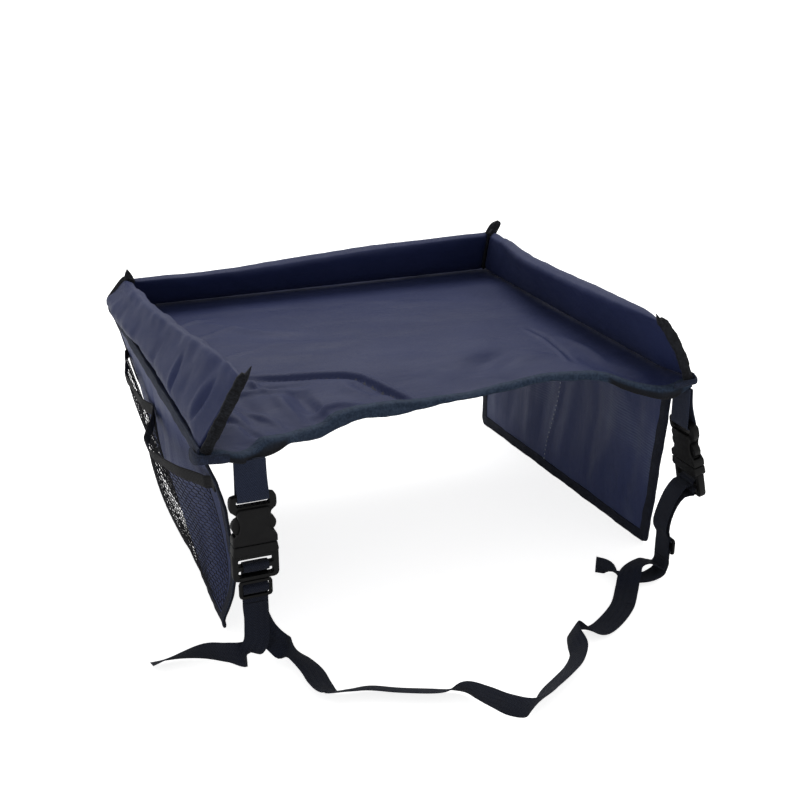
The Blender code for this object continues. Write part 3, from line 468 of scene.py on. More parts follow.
@dataclass(frozen=True)
class RibbedElastic:
    """Knitted elastic band with fine ribs along it."""

    name: str
    colour: Colour

    def make(self) -> Material:
        """Build the material."""
        paint = Paint(self.name)
        across, along = paint.cloth_map()
        ribs = across.wave(0.0011)
        fuzz = paint.noise(paint.place(), 1300.0, 3.0, 0.7)
        lit = tuple(part * 3.0 + 0.006 for part in self.colour)
        return paint.done(
            Base_Color=paint.blend((ribs * 0.5 + fuzz * 0.7).ease(0.5, 1.1), self.colour, lit), Roughness=0.85,
            Normal=paint.bump(ribs * 0.8 + along.wave(0.0008) * 0.4 + fuzz * 0.3, 0.0003),
            Sheen_Weight=0.1, Specular_IOR_Level=0.25,
        )


@dataclass(frozen=True)
class Yarn:
    """Matt twisted yarn of the knitted net and of the stitches."""

    name: str
    colour: Colour
    light: Colour

    def make(self) -> Material:
        """Build the material."""
        paint = Paint(self.name)
        place = paint.place()
        twist = paint.noise(place, 2600.0, 2.0, 0.7)
        share = twist.ease(0.4, 0.8) * paint.noise(place, 70.0, 2.0).ease(0.3, 0.7, 0.4, 1.0)
        return paint.done(
            Base_Color=paint.blend(share, self.colour, self.light), Roughness=0.7, Normal=paint.bump(twist, 0.0002),
            Specular_IOR_Level=0.35,
        )


@dataclass(frozen=True)
class MouldedPlastic:
    """Black acetal with a fine spark-eroded grain and slightly scuffed faces."""

    name: str
    colour: Colour
    roughness: float = 0.46

    def make(self) -> Material:
        """Build the material."""
        paint = Paint(self.name)
        place = paint.place()
        smear = paint.noise(place, 120.0, 3.0, 0.6)
        scuff = paint.noise(place, 420.0, 4.0, 0.75).ease(0.66, 0.8)
        return paint.done(
            Base_Color=paint.blend(scuff * 0.5 + smear * 0.2, self.colour, (0.012, 0.012, 0.0125)),
            Roughness=smear.ease(0.35, 0.65, self.roughness - 0.06, self.roughness + 0.1),
            Normal=paint.bump(paint.noise(place, 2200.0, 3.0, 0.6), 0.00012, None, 0.7), Specular_IOR_Level=0.24,
        )


@dataclass(frozen=True)
class HiddenCore:
    """Foam or board inside a sleeve, with an even cell grain."""

    name: str
    colour: Colour
    scale: float

    def make(self) -> Material:
        """Build the material."""
        paint = Paint(self.name)
        cells = paint.noise(paint.place(), self.scale, 3.0, 0.7)
        return paint.done(
            Base_Color=paint.blend(cells.ease(0.35, 0.65), self.colour, scaled(self.colour, 0.8)), Roughness=0.85,
            Normal=paint.bump(cells, 0.0004),
        )


class Finishes:
    """Every material of the tray table, made once."""

    def __init__(self) -> None:
        """Build all the materials."""
        navy = ((0.02, 0.028, 0.088), (0.015, 0.022, 0.074))
        wall = {"crease_size": 45.0, "crease_depth": 0.0008}
        self.tray = LiningCloth("tray_cloth", *navy, crease_depth=0.0026, stretch=(0.45, 1.3, 1.0)).make()
        self.under = LiningCloth("underside_cloth", (0.016, 0.018, 0.034), (0.012, 0.014, 0.028)).make()
        self.side_wall = LiningCloth("side_wall_cloth", *navy, **wall, stretch=(1.0, 0.35, 1.2)).make()
        self.back_wall = LiningCloth("back_wall_cloth", *navy, **wall, stretch=(0.35, 1.0, 1.2)).make()
        # Painted light: the flap cloth is the tray's navy made lighter, standing in for light on the hanging flaps;
        # its pale net grid (0.75) is painted light too.
        self.flap = LiningCloth(
            "flap_cloth", (0.044, 0.058, 0.148), (0.034, 0.046, 0.124), 0.002, 26.0, (1.0, 1.5, 0.35), 0.75
        ).make()
        self.front_tape = WovenTape(
            "front_tape", (0.015, 0.029, 0.058), (0.04, 0.064, 0.112), (0.006, 0.007, 0.011), 0.016,
            stitch_places=(0.8,),
        ).make()
        self.base_tape = WovenTape(
            "base_tape", (0.01, 0.015, 0.034), (0.022, 0.032, 0.066), (0.008, 0.01, 0.016), 0.0105,
            stitch_places=(0.24, 0.78), stitch_colour=(0.012, 0.018, 0.034),
        ).make()
        self.dark_tape = WovenTape(
            "flap_tape", (0.005, 0.007, 0.017), (0.012, 0.016, 0.034), (0.004, 0.005, 0.009), 0.01, 0.001, (0.16,)
        ).make()
        self.seam_tape = WovenTape(
            "seam_tape", (0.0025, 0.003, 0.005), (0.018, 0.02, 0.027), (0.003, 0.003, 0.005), 0.009, 0.0016
        ).make()
        self.webbing = HerringboneWebbing(
            "belt_webbing_weave", (0.004, 0.006, 0.014), (0.016, 0.022, 0.046), StrapSizes.belt_width
        ).make()
        self.tab_webbing = HerringboneWebbing(
            "tab_webbing_weave", (0.012, 0.018, 0.04), (0.036, 0.048, 0.096), StrapSizes.tab_width
        ).make()
        self.elastic = RibbedElastic("black_elastic_knit", (0.004, 0.004, 0.005)).make()
        self.net = Yarn("net_yarn", (0.006, 0.006, 0.008), (0.05, 0.052, 0.06)).make()
        self.thread = Yarn("stitch_thread", (0.45, 0.48, 0.58), (0.75, 0.78, 0.86)).make()
        self.plastic = MouldedPlastic("black_moulding", (0.003, 0.003, 0.0033)).make()
        self.board = HiddenCore("board_sheet", (0.55, 0.55, 0.55), 600.0).make()
        self.foam = HiddenCore("foam_cells", (0.8, 0.78, 0.7), 1500.0).make()


# ---- mesh building


def deselect() -> None:
    """Leave nothing selected, so that an operator acts on new work alone."""
    if bpy.context.object and bpy.context.object.mode != "OBJECT":
        bpy.ops.object.mode_set(mode="OBJECT")
    bpy.ops.object.select_all(action="DESELECT")


def select_only(item: Item) -> None:
    """Select one object and make it active."""
    deselect()
    item.select_set(True)
    bpy.context.view_layer.objects.active = item


def apply_modifiers(item: Item) -> None:
    """Apply every modifier of one object, in order."""
    select_only(item)
    for modifier in list(item.modifiers):
        bpy.ops.object.modifier_apply(modifier=modifier.name)


def finish_piece(
    item: Item, name: str, material: Material, body: str, nodes: Sequence[str] = (), angle: float = 40.0
) -> Item:
    """Name a finished piece, dress it and let it ride.

    Args:
        item: The finished mesh object.
        name: Its name.
        material: Its finish.
        body: The body that it moves with.
        nodes: The solids that it stands for.
        angle: Edges sharper than this stay sharp, in degrees.

    Returns:
        The same object.
    """
    select_only(item)
    bpy.ops.object.transform_apply(location=True, rotation=True, scale=True)
    item.name = name
    item.data.name = name
    item.data.materials.clear()
    item.data.materials.append(material)
    bpy.ops.object.shade_smooth_by_angle(angle=math.radians(angle))
    if body:
        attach(item, body)
    if nodes:
        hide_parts(*nodes)
    LOG.info("%s rides on %s, %d faces", name, body, len(item.data.polygons))
    return item


def read_points(mesh: bpy.types.Mesh) -> np.ndarray:
    """Read a mesh's places as rows."""
    flat = np.empty(len(mesh.vertices) * 3)
    mesh.vertices.foreach_get("co", flat)
    return flat.reshape(-1, 3)


def patch(columns: int, rows: int, surface: Surface, size: Pair = (1.0, 1.0)) -> Item:
    """Lay a grid of cloth over a surface.

    Args:
        columns: Faces across.
        rows: Faces along.
        surface: Gives the place of a point from its two shares.
        size: Metres across and along, for the cloth's own map.

    Returns:
        An open sheet with a cloth map in metres.
    """
    deselect()
    bpy.ops.mesh.primitive_grid_add(x_subdivisions=columns, y_subdivisions=rows, size=1.0)
    item = bpy.context.object
    mesh = item.data
    shares = np.clip(read_points(mesh)[:, :2] + 0.5, 0.0, 1.0)
    layer = mesh.uv_layers[0]
    layer.name = "cloth"
    corners = np.empty(len(mesh.loops), dtype=np.int64)
    mesh.loops.foreach_get("vertex_index", corners)
    layer.data.foreach_set("uv", (shares[corners] * np.array(size)).ravel())
    placed = np.array([surface(float(u), float(v)) for u, v in shares])
    mesh.vertices.foreach_set("co", placed.ravel())
    mesh.update()
    return item


def outwards(item: Item, seal: bool = False) -> None:
    """Merge doubled points of a shape and turn its faces outwards.

    Args:
        item: The shape.
        seal: Whether its open ends are closed.
    """
    select_only(item)
    bpy.ops.object.mode_set(mode="EDIT")
    bpy.ops.mesh.select_all(action="SELECT")
    bpy.ops.mesh.remove_doubles(threshold=1e-6)
    if seal:
        bpy.ops.mesh.select_all(action="SELECT")
        bpy.ops.mesh.fill_holes(sides=0)
        bpy.ops.mesh.select_all(action="SELECT")
    bpy.ops.mesh.normals_make_consistent(inside=False)
    bpy.ops.object.mode_set(mode="OBJECT")


def thicken(item: Item, thickness: float, offset: float = 0.0) -> None:
    """Give an open sheet its thickness."""
    solid = item.modifiers.new("thickness", "SOLIDIFY")
    solid.thickness = thickness
    solid.offset = offset
    solid.use_even_offset = False
    apply_modifiers(item)


def skin(rings: Rings) -> Item:
    """Wrap a grid round a row of rings and close its ends.

    Args:
        rings: Equal rings of points, in order.

    Returns:
        The closed shape.
    """
    count = len(rings[0])
    around = [0.0]
    middle = rings[len(rings) // 2]
    for index in range(count):
        around.append(around[-1] + (middle[(index + 1) % count] - middle[index]).length)
    walked = [0.0]
    for first, second in zip(rings[:-1], rings[1:]):
        walked.append(walked[-1] + (sum(second, Vector()) / count - sum(first, Vector()) / count).length)

    def surface(u: float, v: float) -> Vector:
        """Read a ring's point."""
        ring = rings[min(round(v * (len(rings) - 1)), len(rings) - 1)]
        return ring[round(u * count) % count]

    item = patch(count, len(rings) - 1, surface)
    for corner in item.data.uv_layers[0].data:
        u, v = corner.uv
        corner.uv = (around[round(u * count)], walked[round(v * (len(rings) - 1))])
    outwards(item, seal=True)
    return item


def band(
    centres: Sequence[Vector], across: Sequence[Vector], width: float, thickness: float, steps: int = 6,
    crown: float = 0.0,
) -> Item:
    """Sweep a flat strap along a line.

    Args:
        centres: The strap's middle line.
        across: The direction of its width at each place.
        width: Its width.
        thickness: Its thickness.
        steps: Faces across its width.
        crown: How far its middle stands above its edges.

    Returns:
        The closed strap, its cloth map running across from one edge.
    """
    last = len(centres) - 1
    rings = []
    for index, centre in enumerate(centres):
        run = (centres[min(index + 1, last)] - centres[max(index - 1, 0)]).normalized()
        wide = across[index] - run * across[index].dot(run)
        wide.normalize()
        normal = run.cross(wide)
        ring = []
        for turn in (1, -1):
            for step in range(steps + 1):
                share = step / steps if turn == 1 else 1 - step / steps
                edge = 1.0 - 0.45 * (abs(share - 0.5) * 2) ** 6
                rise = crown * (1 - (share * 2 - 1) ** 2)
                ring.append(centre + wide * width * (share - 0.5) + normal * (turn * thickness / 2 * edge + rise))
        rings.append(ring)
    return skin(rings)


def shaped_plate(outline: Table, depth: float, edge: float, segments: int = 2) -> Item:
    """Extrude a moulding from its outline and ease its edges.

    Args:
        outline: Across-and-up places in order.
        depth: Thickness front to back, centred on zero.
        edge: Width of the eased edges.
        segments: Faces over each eased edge.

    Returns:
        The closed moulding.
    """
    deselect()
    bpy.ops.mesh.primitive_circle_add(vertices=len(outline), fill_type="NGON")
    item = bpy.context.object
    for vertex, (x, z) in zip(item.data.vertices, outline):
        vertex.co = (x, -depth / 2, z)
    select_only(item)
    bpy.ops.object.mode_set(mode="EDIT")
    bpy.ops.mesh.select_all(action="SELECT")
    bpy.ops.mesh.extrude_region_move(TRANSFORM_OT_translate={"value": (0.0, depth, 0.0)})
    bpy.ops.mesh.select_all(action="SELECT")
    bpy.ops.mesh.normals_make_consistent(inside=False)
    bpy.ops.object.mode_set(mode="OBJECT")
    if edge:
        ease = item.modifiers.new("eased edges", "BEVEL")
        ease.width = edge
        ease.segments = segments
        ease.limit_method = "ANGLE"
        ease.angle_limit = math.radians(50)
        apply_modifiers(item)
    return item


def block(low: Vector, high: Vector) -> Item:
    """A plain cutting block between two corners."""
    deselect()
    middle = (low + high) / 2
    bpy.ops.mesh.primitive_cube_add(size=1.0, location=middle)
    item = bpy.context.object
    item.scale = high - low
    bpy.ops.object.transform_apply(location=True, rotation=True, scale=True)
    return item


def carve(item: Item, cutter: Item) -> None:
    """Cut one shape out of another and remove the cutter."""
    taken = item.modifiers.new("cut", "BOOLEAN")
    taken.operation = "DIFFERENCE"
    taken.solver = "EXACT"
    taken.object = cutter
    apply_modifiers(item)
    bpy.data.objects.remove(cutter, do_unlink=True)


def merge(first: Item, *others: Item) -> Item:
    """Join shapes into one object."""
    deselect()
    for item in (first, *others):
        item.select_set(True)
    bpy.context.view_layer.objects.active = first
    bpy.ops.object.join()
    return first


# ---- tray panel


@dataclass
class TrayPanel:
    """The cloth-covered board, its loose front edge and the tape along it."""

    half: float = 0.1989
    front: float = -0.1889
    back: float = 0.1829
    cut_depth: float = 0.053
    cut_reach: float = 0.171
    board_front: float = -0.056
    top: float = 0.005
    columns: int = 230
    rows: int = 170
    tape_top: Table = metres((
        (-199, 5.2), (-184, 3), (-172, -0.2), (-158, -1.5), (-148, 2.2), (-138, 0.4), (-128, -1.6), (-108, -3.4),
        (-96, -3), (-88, 1.2), (-63, 2), (-40, 0.2), (-16, -2.4), (20, -3), (40, -1), (59, 3), (87, 8.6),
        (110, 10.6), (130, 10.2), (143, 6), (155, 2), (170, 0), (184, 0.5), (199, 5.2),
    ))
    tape_bottom: Table = metres((
        (-199, -1.5), (-184, -3), (-172, -6.2), (-154, -8.8), (-140, -8.6), (-128, -6.8), (-107, -11.2),
        (-85, -7.8), (-62, -6), (-33, -9.6), (-6, -8), (19, -5.2), (33, -4.5), (57, -1.2), (87, 4.2), (110, 6.2),
        (130, 5.6), (143, 0), (155, -4.5), (170, -8), (184, -8.5), (199, -1.5),
    ))
    crease: Table = metres((
        (-168, -43), (-131, -54.5), (-103, -60.8), (-76, -64.1), (-56, -70), (-43, -78.5), (-32.5, -99.1),
        (-24, -117), (-15, -133),
    ))
    folds: Sequence[Fold] = metres((
        (((-131, -56), (-127, -72), (-124.5, -90)), 2.2, 3),
        (((-104, -137), (-90, -130), (-78.6, -129), (-58, -134)), 3, 4.2),
        (((-120, -95), (-119, -120), (-112, -150)), 2.6, 6),
        (((-104, -85), (-100, -110), (-98, -130)), -2.2, 6.5),
        (((-52, -87), (-46, -102), (-30, -112)), -1.8, 6),
        (((-62, -78), (-60, -98), (-48, -118)), 1.6, 7.5),
        (((-150, -70), (-146, -110), (-150, -165)), -2.6, 9),
        (((-170, -90), (-160, -130), (-162, -170)), 2.2, 8),
        (((134, -20), (137, -52), (132, -90), (121, -128)), 1.1, 2.2),
        (((140, -20), (143, -52), (138, -90), (127, -128)), -1.1, 2.6),
        (((154, -50), (160, -90), (158, -130)), 1.2, 5),
        (((-168, -56), (-150, -80), (-118, -90), (-86, -88)), 2, 3.4),
        (((-160, -50), (-142, -70), (-112, -79), (-80, -78)), -2, 4),
        (((-176, -100), (-150, -118), (-128, -156)), 1.8, 3),
        (((-182, -120), (-164, -140), (-146, -172)), -2.2, 3.4),
        (((-168, 90), (-140, 106), (-112, 113)), 1, 2.6),
        (((-172, 30), (-148, 56), (-120, 74), (-80, 86)), 0.9, 3),
        (((-172, -20), (-120, 6), (-70, 20)), 0.8, 3.2),
        (((46, -108), (62, -90), (88, -66), (124, -40)), -3.4, 13),
        (((30, -80), (60, -60), (100, -35)), 1.4, 14),
        (((60, -125), (90, -104), (118, -90)), 2.2, 12),
        (((-146, 123), (-128, 100), (-86, 56), (-50, 40)), 1.1, 6),
        (((-150, 90), (-122, 63), (-60, 30), (0, 18)), -1, 6.5),
        (((-150, 50), (-110, 28), (-40, 3), (30, -8)), 1, 8),
        (((-140, 0), (-90, -16), (-20, -26)), 0.8, 8),
        (((20, 120), (70, 90), (120, 80)), 0.8, 10),
        (((0, 50), (70, 20), (130, 25)), -0.8, 11),
    ))
    fold_strength: float = 1.45
    lining_lift: float = 0.0006
    top_thickness: float = 0.0007
    lining_thickness: float = 0.0006
    cut_area: float = 0.0121

    def front_edge(self, x: float) -> float:
        """Where the cloth's front edge runs at one place across."""
        return self.front + self.cut_depth * max(1 - (x / self.cut_reach) ** 2, 0.0)

    def top_height(self, x: float, y: float) -> float:
        """Height of the play surface at a place."""
        front = self.front_edge(x)
        edge = read_table(self.tape_top, x) - 0.0006
        reach = mix(0.03, self.board_front - front, smooth_step((abs(x - 0.02) - 0.1) / -0.05 + 1.0))
        ahead = smooth_step((front + reach + 0.012 - y) / (reach + 0.01))
        height = mix(self.top, edge, ahead)
        place = (x, y)
        near, share = line_distance(place, self.crease)
        strength = min(1.0, share * 9.0) * min(1.0, (1.0 - share) * 12.0) if 0.0 < share < 1.0 else 0.0
        height += strength * (0.0019 * hump(near - 0.003, 0.0026) - 0.004 * hump(near + 0.0026, 0.0026))
        height -= strength * 0.0012 * smooth_step(-near / 0.004) * hump(near, 0.04)
        free = smooth_step((self.board_front - 0.001 - y) / 0.026)
        for path, rise, width in self.folds:
            height += fold(place, path, rise * self.fold_strength, width) * (free if rise < -0.0012 else 1.0)
        loose = smooth_step((self.board_front - y) / 0.02)
        calm = smooth_step((self.half - 0.03 - abs(x)) / 0.02)
        height += (0.00035 + 0.0006 * loose) * wander(x * 34 + y * 21, 0.4) * wander(y * 40 - x * 12, 1.1) * calm
        ahead_of_board = self.board_front - y
        if ahead_of_board > 0.02:
            return height
        return max(height, self.top - 0.0006 - 0.7 * max(ahead_of_board - 0.001, 0.0))

    def low_height(self, x: float, y: float) -> float:
        """Height of the underside at a place."""
        loose = smooth_step((self.board_front + 0.004 - y) / 0.03)
        under = self.top_height(x, max(y, self.front_edge(x))) - 0.0022
        return mix(self.lining_lift, under, loose)

    def build(self, finishes: Finishes) -> None:
        """Make the play surface, the underside and the front tape."""

        def sheet_point(u: float, v: float, height: Callable[[float, float], float]) -> Vector:
            """A point of one of the two covers."""
            x = mix(-self.half, self.half, u)
            front = self.front_edge(x) + 0.0006
            y = mix(front, self.back, v ** 1.25)
            return Vector((x, y, height(x, y)))

        size = (2 * self.half, self.back - self.front)
        top = patch(self.columns, self.rows, lambda u, v: sheet_point(u, v, self.top_height), size)
        thicken(top, self.top_thickness, -1.0)
        finish_piece(top, "play_surface_cloth", finishes.tray, "tray", ["top_cover"], 80)
        low = patch(90, 70, lambda u, v: sheet_point(u, v, self.low_height), size)
        thicken(low, self.lining_thickness, 1.0)
        finish_piece(low, "underside_lining", finishes.under, "tray", ["bottom_cover"], 80)
        self.build_tape(finishes)

    def build_tape(self, finishes: Finishes) -> None:
        """Make the tape that hangs along the concave front edge."""
        stations = 260
        rings = []
        for step in range(stations + 1):
            x = mix(-self.half, self.half, step / stations)
            edge = self.front_edge(x)
            high = read_table(self.tape_top, x) + 0.0004 * wander(x * 160, 0.2)
            low = read_table(self.tape_bottom, x) + 0.0005 * wander(x * 120, 2.2)
            lean = 0.0012 * wander(x * 70, 3.1)
            slope = -2 * self.cut_depth * x / self.cut_reach ** 2 if abs(x) < self.cut_reach else 0.0
            out = Vector((slope, -1.0, 0.0)).normalized()
            middle = Vector((x, edge, 0.0))
            profile = (
                (-0.007, high - 0.0001), (-0.007, high + 0.0009), (-0.0035, high + 0.0011), (-0.0006, high + 0.0008),
                (0.0008, high - 0.0006), (0.0012 + lean * 0.3, mix(high, low, 0.35)),
                (0.0011 + lean * 0.7, mix(high, low, 0.7)), (0.0009 + lean, low + 0.0006), (0.0002 + lean, low),
                (-0.0007 + lean, low + 0.0004), (-0.0008 + lean * 0.7, mix(high, low, 0.7)),
                (-0.0009 + lean * 0.3, mix(high, low, 0.35)), (-0.0022, high - 0.001), (-0.0045, high - 0.0008),
            )
            rings.append([middle + out * reach + Vector((0.0, 0.0, z)) for reach, z in profile])
        tape = skin(rings)
        self.shade_tape(tape)
        finish_piece(tape, "front_edge_tape", finishes.front_tape, "tray", ["front_edge_binding"], 60)

    def shade_tape(self, tape: Item) -> None:
        """Mark where the folded hem shows its black lining."""
        layer = tape.data.attributes.new("shade", "FLOAT", "POINT")
        for index, vertex in enumerate(tape.data.vertices):
            x, _, z = vertex.co
            middle = (read_table(self.tape_top, x) + read_table(self.tape_bottom, x)) / 2
            left = smooth_step((x + 0.192) / 0.006) * smooth_step((-0.128 - x) / 0.006)
            right = smooth_step((x - 0.131) / 0.006) * smooth_step((0.193 - x) / 0.006)
            low = smooth_step((middle + 0.0035 - z) / 0.003)
            layer.data[index].value = max(left, right) * low


# ---- padded rim


@dataclass
class PaddedRim:
    """Three foam-filled sleeves round the tray, leaning inwards, and their sewn ends."""

    half: float = 0.1989
    back: float = 0.1829
    front: float = -0.19
    floor: float = 0.0068
    thickness: float = 0.0145
    lean: float = math.radians(33.0)
    front_slant: float = 0.058
    corner_slant: float = 0.045
    middle_slant: float = 0.042
    end_thickness: float = 0.0048
    end_tape: float = 0.0045
    shaping: float = 0.03
    ring_points: int = 28
    stations: int = 84
    squareness: float = 0.36
    ridge_share: float = 0.6
    cap: float = 0.0022
    core_margin: float = 0.005
    core_end: int = 4
    seam_height: float = 0.004
    mitre_gap: float = 0.0014
    mitre_steps: int = 8
    strip_steps: int = 110
    left_slump: float = 0.27
    left_spread: float = 0.28
    right_spread: float = 0.36
    puckers: Sequence[Fold] = metres((
        (((-83, 42), (-88, 30), (-94, 12)), -2.6, 3),
        (((-76, 44), (-81, 30), (-88, 14)), 1.6, 4.2),
        (((-159, 49), (-158, 32), (-155, 13)), -2.4, 3.2),
        (((-150, 48), (-149, 30), (-148, 14)), 1.4, 5),
        (((-120, 45), (-115, 30), (-122, 10)), -1, 7),
        (((-30, 40), (-22, 24), (-36, 6)), -1.4, 6),
        (((40, 38), (50, 20), (30, 4)), -1.3, 6.5),
        (((95, 36), (104, 20), (84, 4)), -1.2, 6),
        (((128, 34), (136, 18), (120, 4)), 1.2, 6),
    ))

    def settled(self, place: Vector) -> Vector:
        """Where a place of the rim comes to rest: the back left sags, both back corners spread."""
        rise = max(place.z - self.floor, 0.0)
        rear = smooth_step((place.y + 0.19) / 0.34)
        left = smooth_step((0.07 - place.x) / 0.21)
        corner = smooth_step((-0.1 - place.x) / 0.07)
        other = smooth_step((place.y - 0.03) / 0.12) * smooth_step((place.x - 0.1) / 0.07)
        across = rise * (self.right_spread * other - self.left_spread * rear * corner)
        return place + Vector((across, 0.0, -self.left_slump * rise * rear * left))

    def settle(self, item: Item) -> Item:
        """Bring a whole piece of the rim to rest."""
        for vertex in item.data.vertices:
            vertex.co = self.settled(vertex.co)
        item.data.update()
        return item

    def core(self, word: str, rings: Rings, finishes: Finishes) -> None:
        """Make the foam strip inside a sleeve, slimmer than it all round."""
        kept = []
        for ring in rings[self.core_end:-self.core_end]:
            middle = sum(ring, Vector()) / len(ring)
            if min((point - middle).length for point in ring) < self.core_margin + 0.0014:
                continue
            kept.append([point + (middle - point).normalized() * self.core_margin for point in ring])
        foam = self.settle(skin(kept))
        finish_piece(foam, f"{word}_foam_strip", finishes.foam, "tray", [f"{word}_wall_core"], 70)

    def raw_profile(self, half: float, slant: float, top_extra: float = 0.0) -> list[Vector]:
        """Rounded section of a wall in inward distance and height, from a corner at zero."""
        inward = Vector((math.sin(self.lean), math.cos(self.lean)))
        outward = Vector((math.cos(self.lean), -math.sin(self.lean)))
        ring = []
        for step in range(self.ring_points):
            across, along = round_square(2 * math.pi * (step + 0.5) / self.ring_points, self.squareness)
            rise = slant / 2 * along + top_extra * max(along, 0.0)
            across = mix(across, (across + 1.0) * self.ridge_share - 1.0, smooth_step((along + 0.55) / 1.5))
            ring.append(inward * (slant / 2 + rise) + outward * half * across)
        return ring

    def profile(
        self, thickness: float, slant: float, top_extra: float = 0.0, side_extra: float = 0.0
    ) -> list[Vector]:
        """Section of a wall standing on the covers at the seam."""
        full = self.raw_profile(thickness / 2, slant)
        shift = Vector((-min(p.x for p in full), self.floor - min(p.y for p in full)))
        return [point + shift for point in self.raw_profile(thickness / 2 + side_extra, slant, top_extra)]

    def side_slant(self, y: float) -> float:
        """Slant height of a side wall at a place along it."""
        return mix(self.front_slant, self.corner_slant, min((y - self.front) / (0.184 - self.front), 1.0))

    def mitre_shares(self) -> list[float]:
        """Shares of the way into a corner's mitre."""
        return [step / self.mitre_steps for step in range(1, self.mitre_steps + 1)]

    def side_rings(self, hand: int) -> Rings:
        """Rings of one side wall from its sewn front end to the mitre."""
        start = self.front + self.end_tape + 0.0003
        finish = self.back - self.corner_slant - self.thickness
        rings = []
        for step in range(self.stations + 1):
            share = step / self.stations
            y = mix(start, finish, share ** 1.15)
            thick = mix(self.end_thickness, self.thickness, smooth_step((y - start) / self.shaping))
            rings.append([
                Vector((hand * (self.half - p.x), y, p.y)) for p in self.profile(thick, self.side_slant(y))
            ])
        last = self.profile(self.thickness, self.corner_slant)
        for share in self.mitre_shares():
            rings.append([
                Vector((hand * (self.half - p.x), mix(finish, self.back - p.x - self.mitre_gap, share), p.y))
                for p in last
            ])
        return rings

    def back_rings(self) -> Rings:
        """Rings of the back wall from mitre to mitre."""
        inner = self.half - self.corner_slant - self.thickness
        end = self.profile(self.thickness, self.corner_slant)
        mitre = [
            [Vector((mix(inner, self.half - p.x - self.mitre_gap, share), self.back - p.x, p.y)) for p in end]
            for share in self.mitre_shares()
        ]
        rings = [[Vector((-p.x, p.y, p.z)) for p in ring] for ring in reversed(mitre)]
        for step in range(self.stations + 1):
            share = step / self.stations
            slant = mix(self.corner_slant, self.middle_slant, math.sin(math.pi * share))
            x = mix(-inner, inner, share)
            rings.append([Vector((x, self.back - p.x, p.y)) for p in self.profile(self.thickness, slant)])
        rings += mitre
        return rings

    def puckered(self, item: Item, hand: int) -> None:
        """Press the sewn puckers and soft dents into a wall's cloth."""
        mesh = item.data
        moves = []
        for vertex in mesh.vertices:
            x, y, z = vertex.co
            normal = vertex.normal
            along, level = (y, abs(x)) if hand else (x, y)
            slant = (z - self.floor) / math.cos(self.lean)
            ripple = 0.0004 * wander(along * 60 + slant * 50, 0.9 + hand) * smooth_step(slant / 0.01)
            ripple += 0.0002 * wander(along * 150 - slant * 120, 2.3 + hand)
            outer = (normal.x * hand > 0.25) if hand else normal.y > 0.25
            if outer:
                for path, rise, width in self.puckers:
                    ripple += fold((along, slant), path, rise * (1.0 if hand <= 0 else 0.6), width)
            droop = 0.0
            if hand == -1:
                ripple += 0.0016 * smooth_step((slant - 0.04) / 0.01) * wander(y * 60, 4.0)
                if outer:
                    ripple += 0.0036 * smooth_step((y - 0.03) / 0.06) * hump(slant - 0.01, 0.014)
                    rear = smooth_step((y - 0.045) / 0.06) * smooth_step((0.186 - y) / 0.03)
                    droop = 0.0052 * rear * smooth_step((0.018 - slant) / 0.018)
            moves.append(normal * ripple - Vector((0.0, 0.0, droop)))
        for vertex, move in zip(mesh.vertices, moves):
            vertex.co = vertex.co + move

    def inflate(self, item: Item) -> None:
        """Swell a sleeve with cloth simulation, its seams held."""
        mesh = item.data
        rest = read_points(mesh)
        held = item.vertex_groups.new(name="seams")
        sewn = (rest[:, 2] < rest[:, 2].min() + self.seam_height) | self.end_points(rest)
        for index, pinned in enumerate(sewn):
            held.add([index], float(pinned), "REPLACE")
        cloth = item.modifiers.new("padding", "CLOTH")
        settings = cloth.settings
        settings.quality = 6
        settings.mass = 0.2
        settings.tension_stiffness = 12
        settings.compression_stiffness = 12
        settings.shear_stiffness = 4
        settings.bending_stiffness = 0.4
        settings.use_pressure = True
        settings.uniform_pressure_force = 0.9
        settings.shrink_min = 0.0
        settings.vertex_group_mass = "seams"
        settings.effector_weights.gravity = 0.0
        cloth.collision_settings.use_self_collision = False
        cloth.collision_settings.use_collision = False
        scene = bpy.context.scene
        scene.frame_set(1)
        for number in range(1, 17):
            scene.frame_set(number)
        shown = item.evaluated_get(bpy.context.evaluated_depsgraph_get())
        step = read_points(shown.data) - rest
        length = np.linalg.norm(step, axis=1)[:, None]
        step *= np.minimum(self.cap / np.maximum(length, 1e-9), 1.0)
        item.modifiers.remove(cloth)
        mesh.vertices.foreach_set("co", (rest + step).ravel())
        mesh.update()
        scene.frame_set(1)

    def end_points(self, rest: np.ndarray) -> np.ndarray:
        """Find the points of the two sewn ends of a sleeve."""
        x, y = np.abs(rest[:, 0]), rest[:, 1]
        front = y < self.front + self.end_tape + 0.0006
        mitre = np.abs((self.half - x) - (self.back - y)) < 0.003
        return front | mitre

    def build(self, finishes: Finishes) -> None:
        """Make the three walls, their end seams, the corner ears and the base strips."""
        for side in Side:
            self.build_wall(side.word, self.side_rings(side.value), side.value, finishes.side_wall, finishes)
            self.build_end_seam(side, finishes)
            self.build_corner(side, finishes)
            self.build_base_strip(side, finishes)
        self.build_wall("back", self.back_rings(), 0, finishes.back_wall, finishes)
        self.build_back_strip(finishes)

    def build_wall(self, word: str, rings: Rings, hand: int, cloth: Material, finishes: Finishes) -> None:
        """Make one padded sleeve and the foam strip inside it.

        Args:
            word: The wall's name.
            rings: Sections along the wall.
            hand: Minus one on the left, one on the right, zero at the back.
            cloth: The sleeve's material.
            finishes: All materials.
        """
        wall = skin(rings)
        self.pad(wall, hand)
        self.core(word, rings, finishes)
        finish_piece(wall, f"{word}_wall_sleeve", cloth, "tray", [f"{word}_wall_cover"], 70)

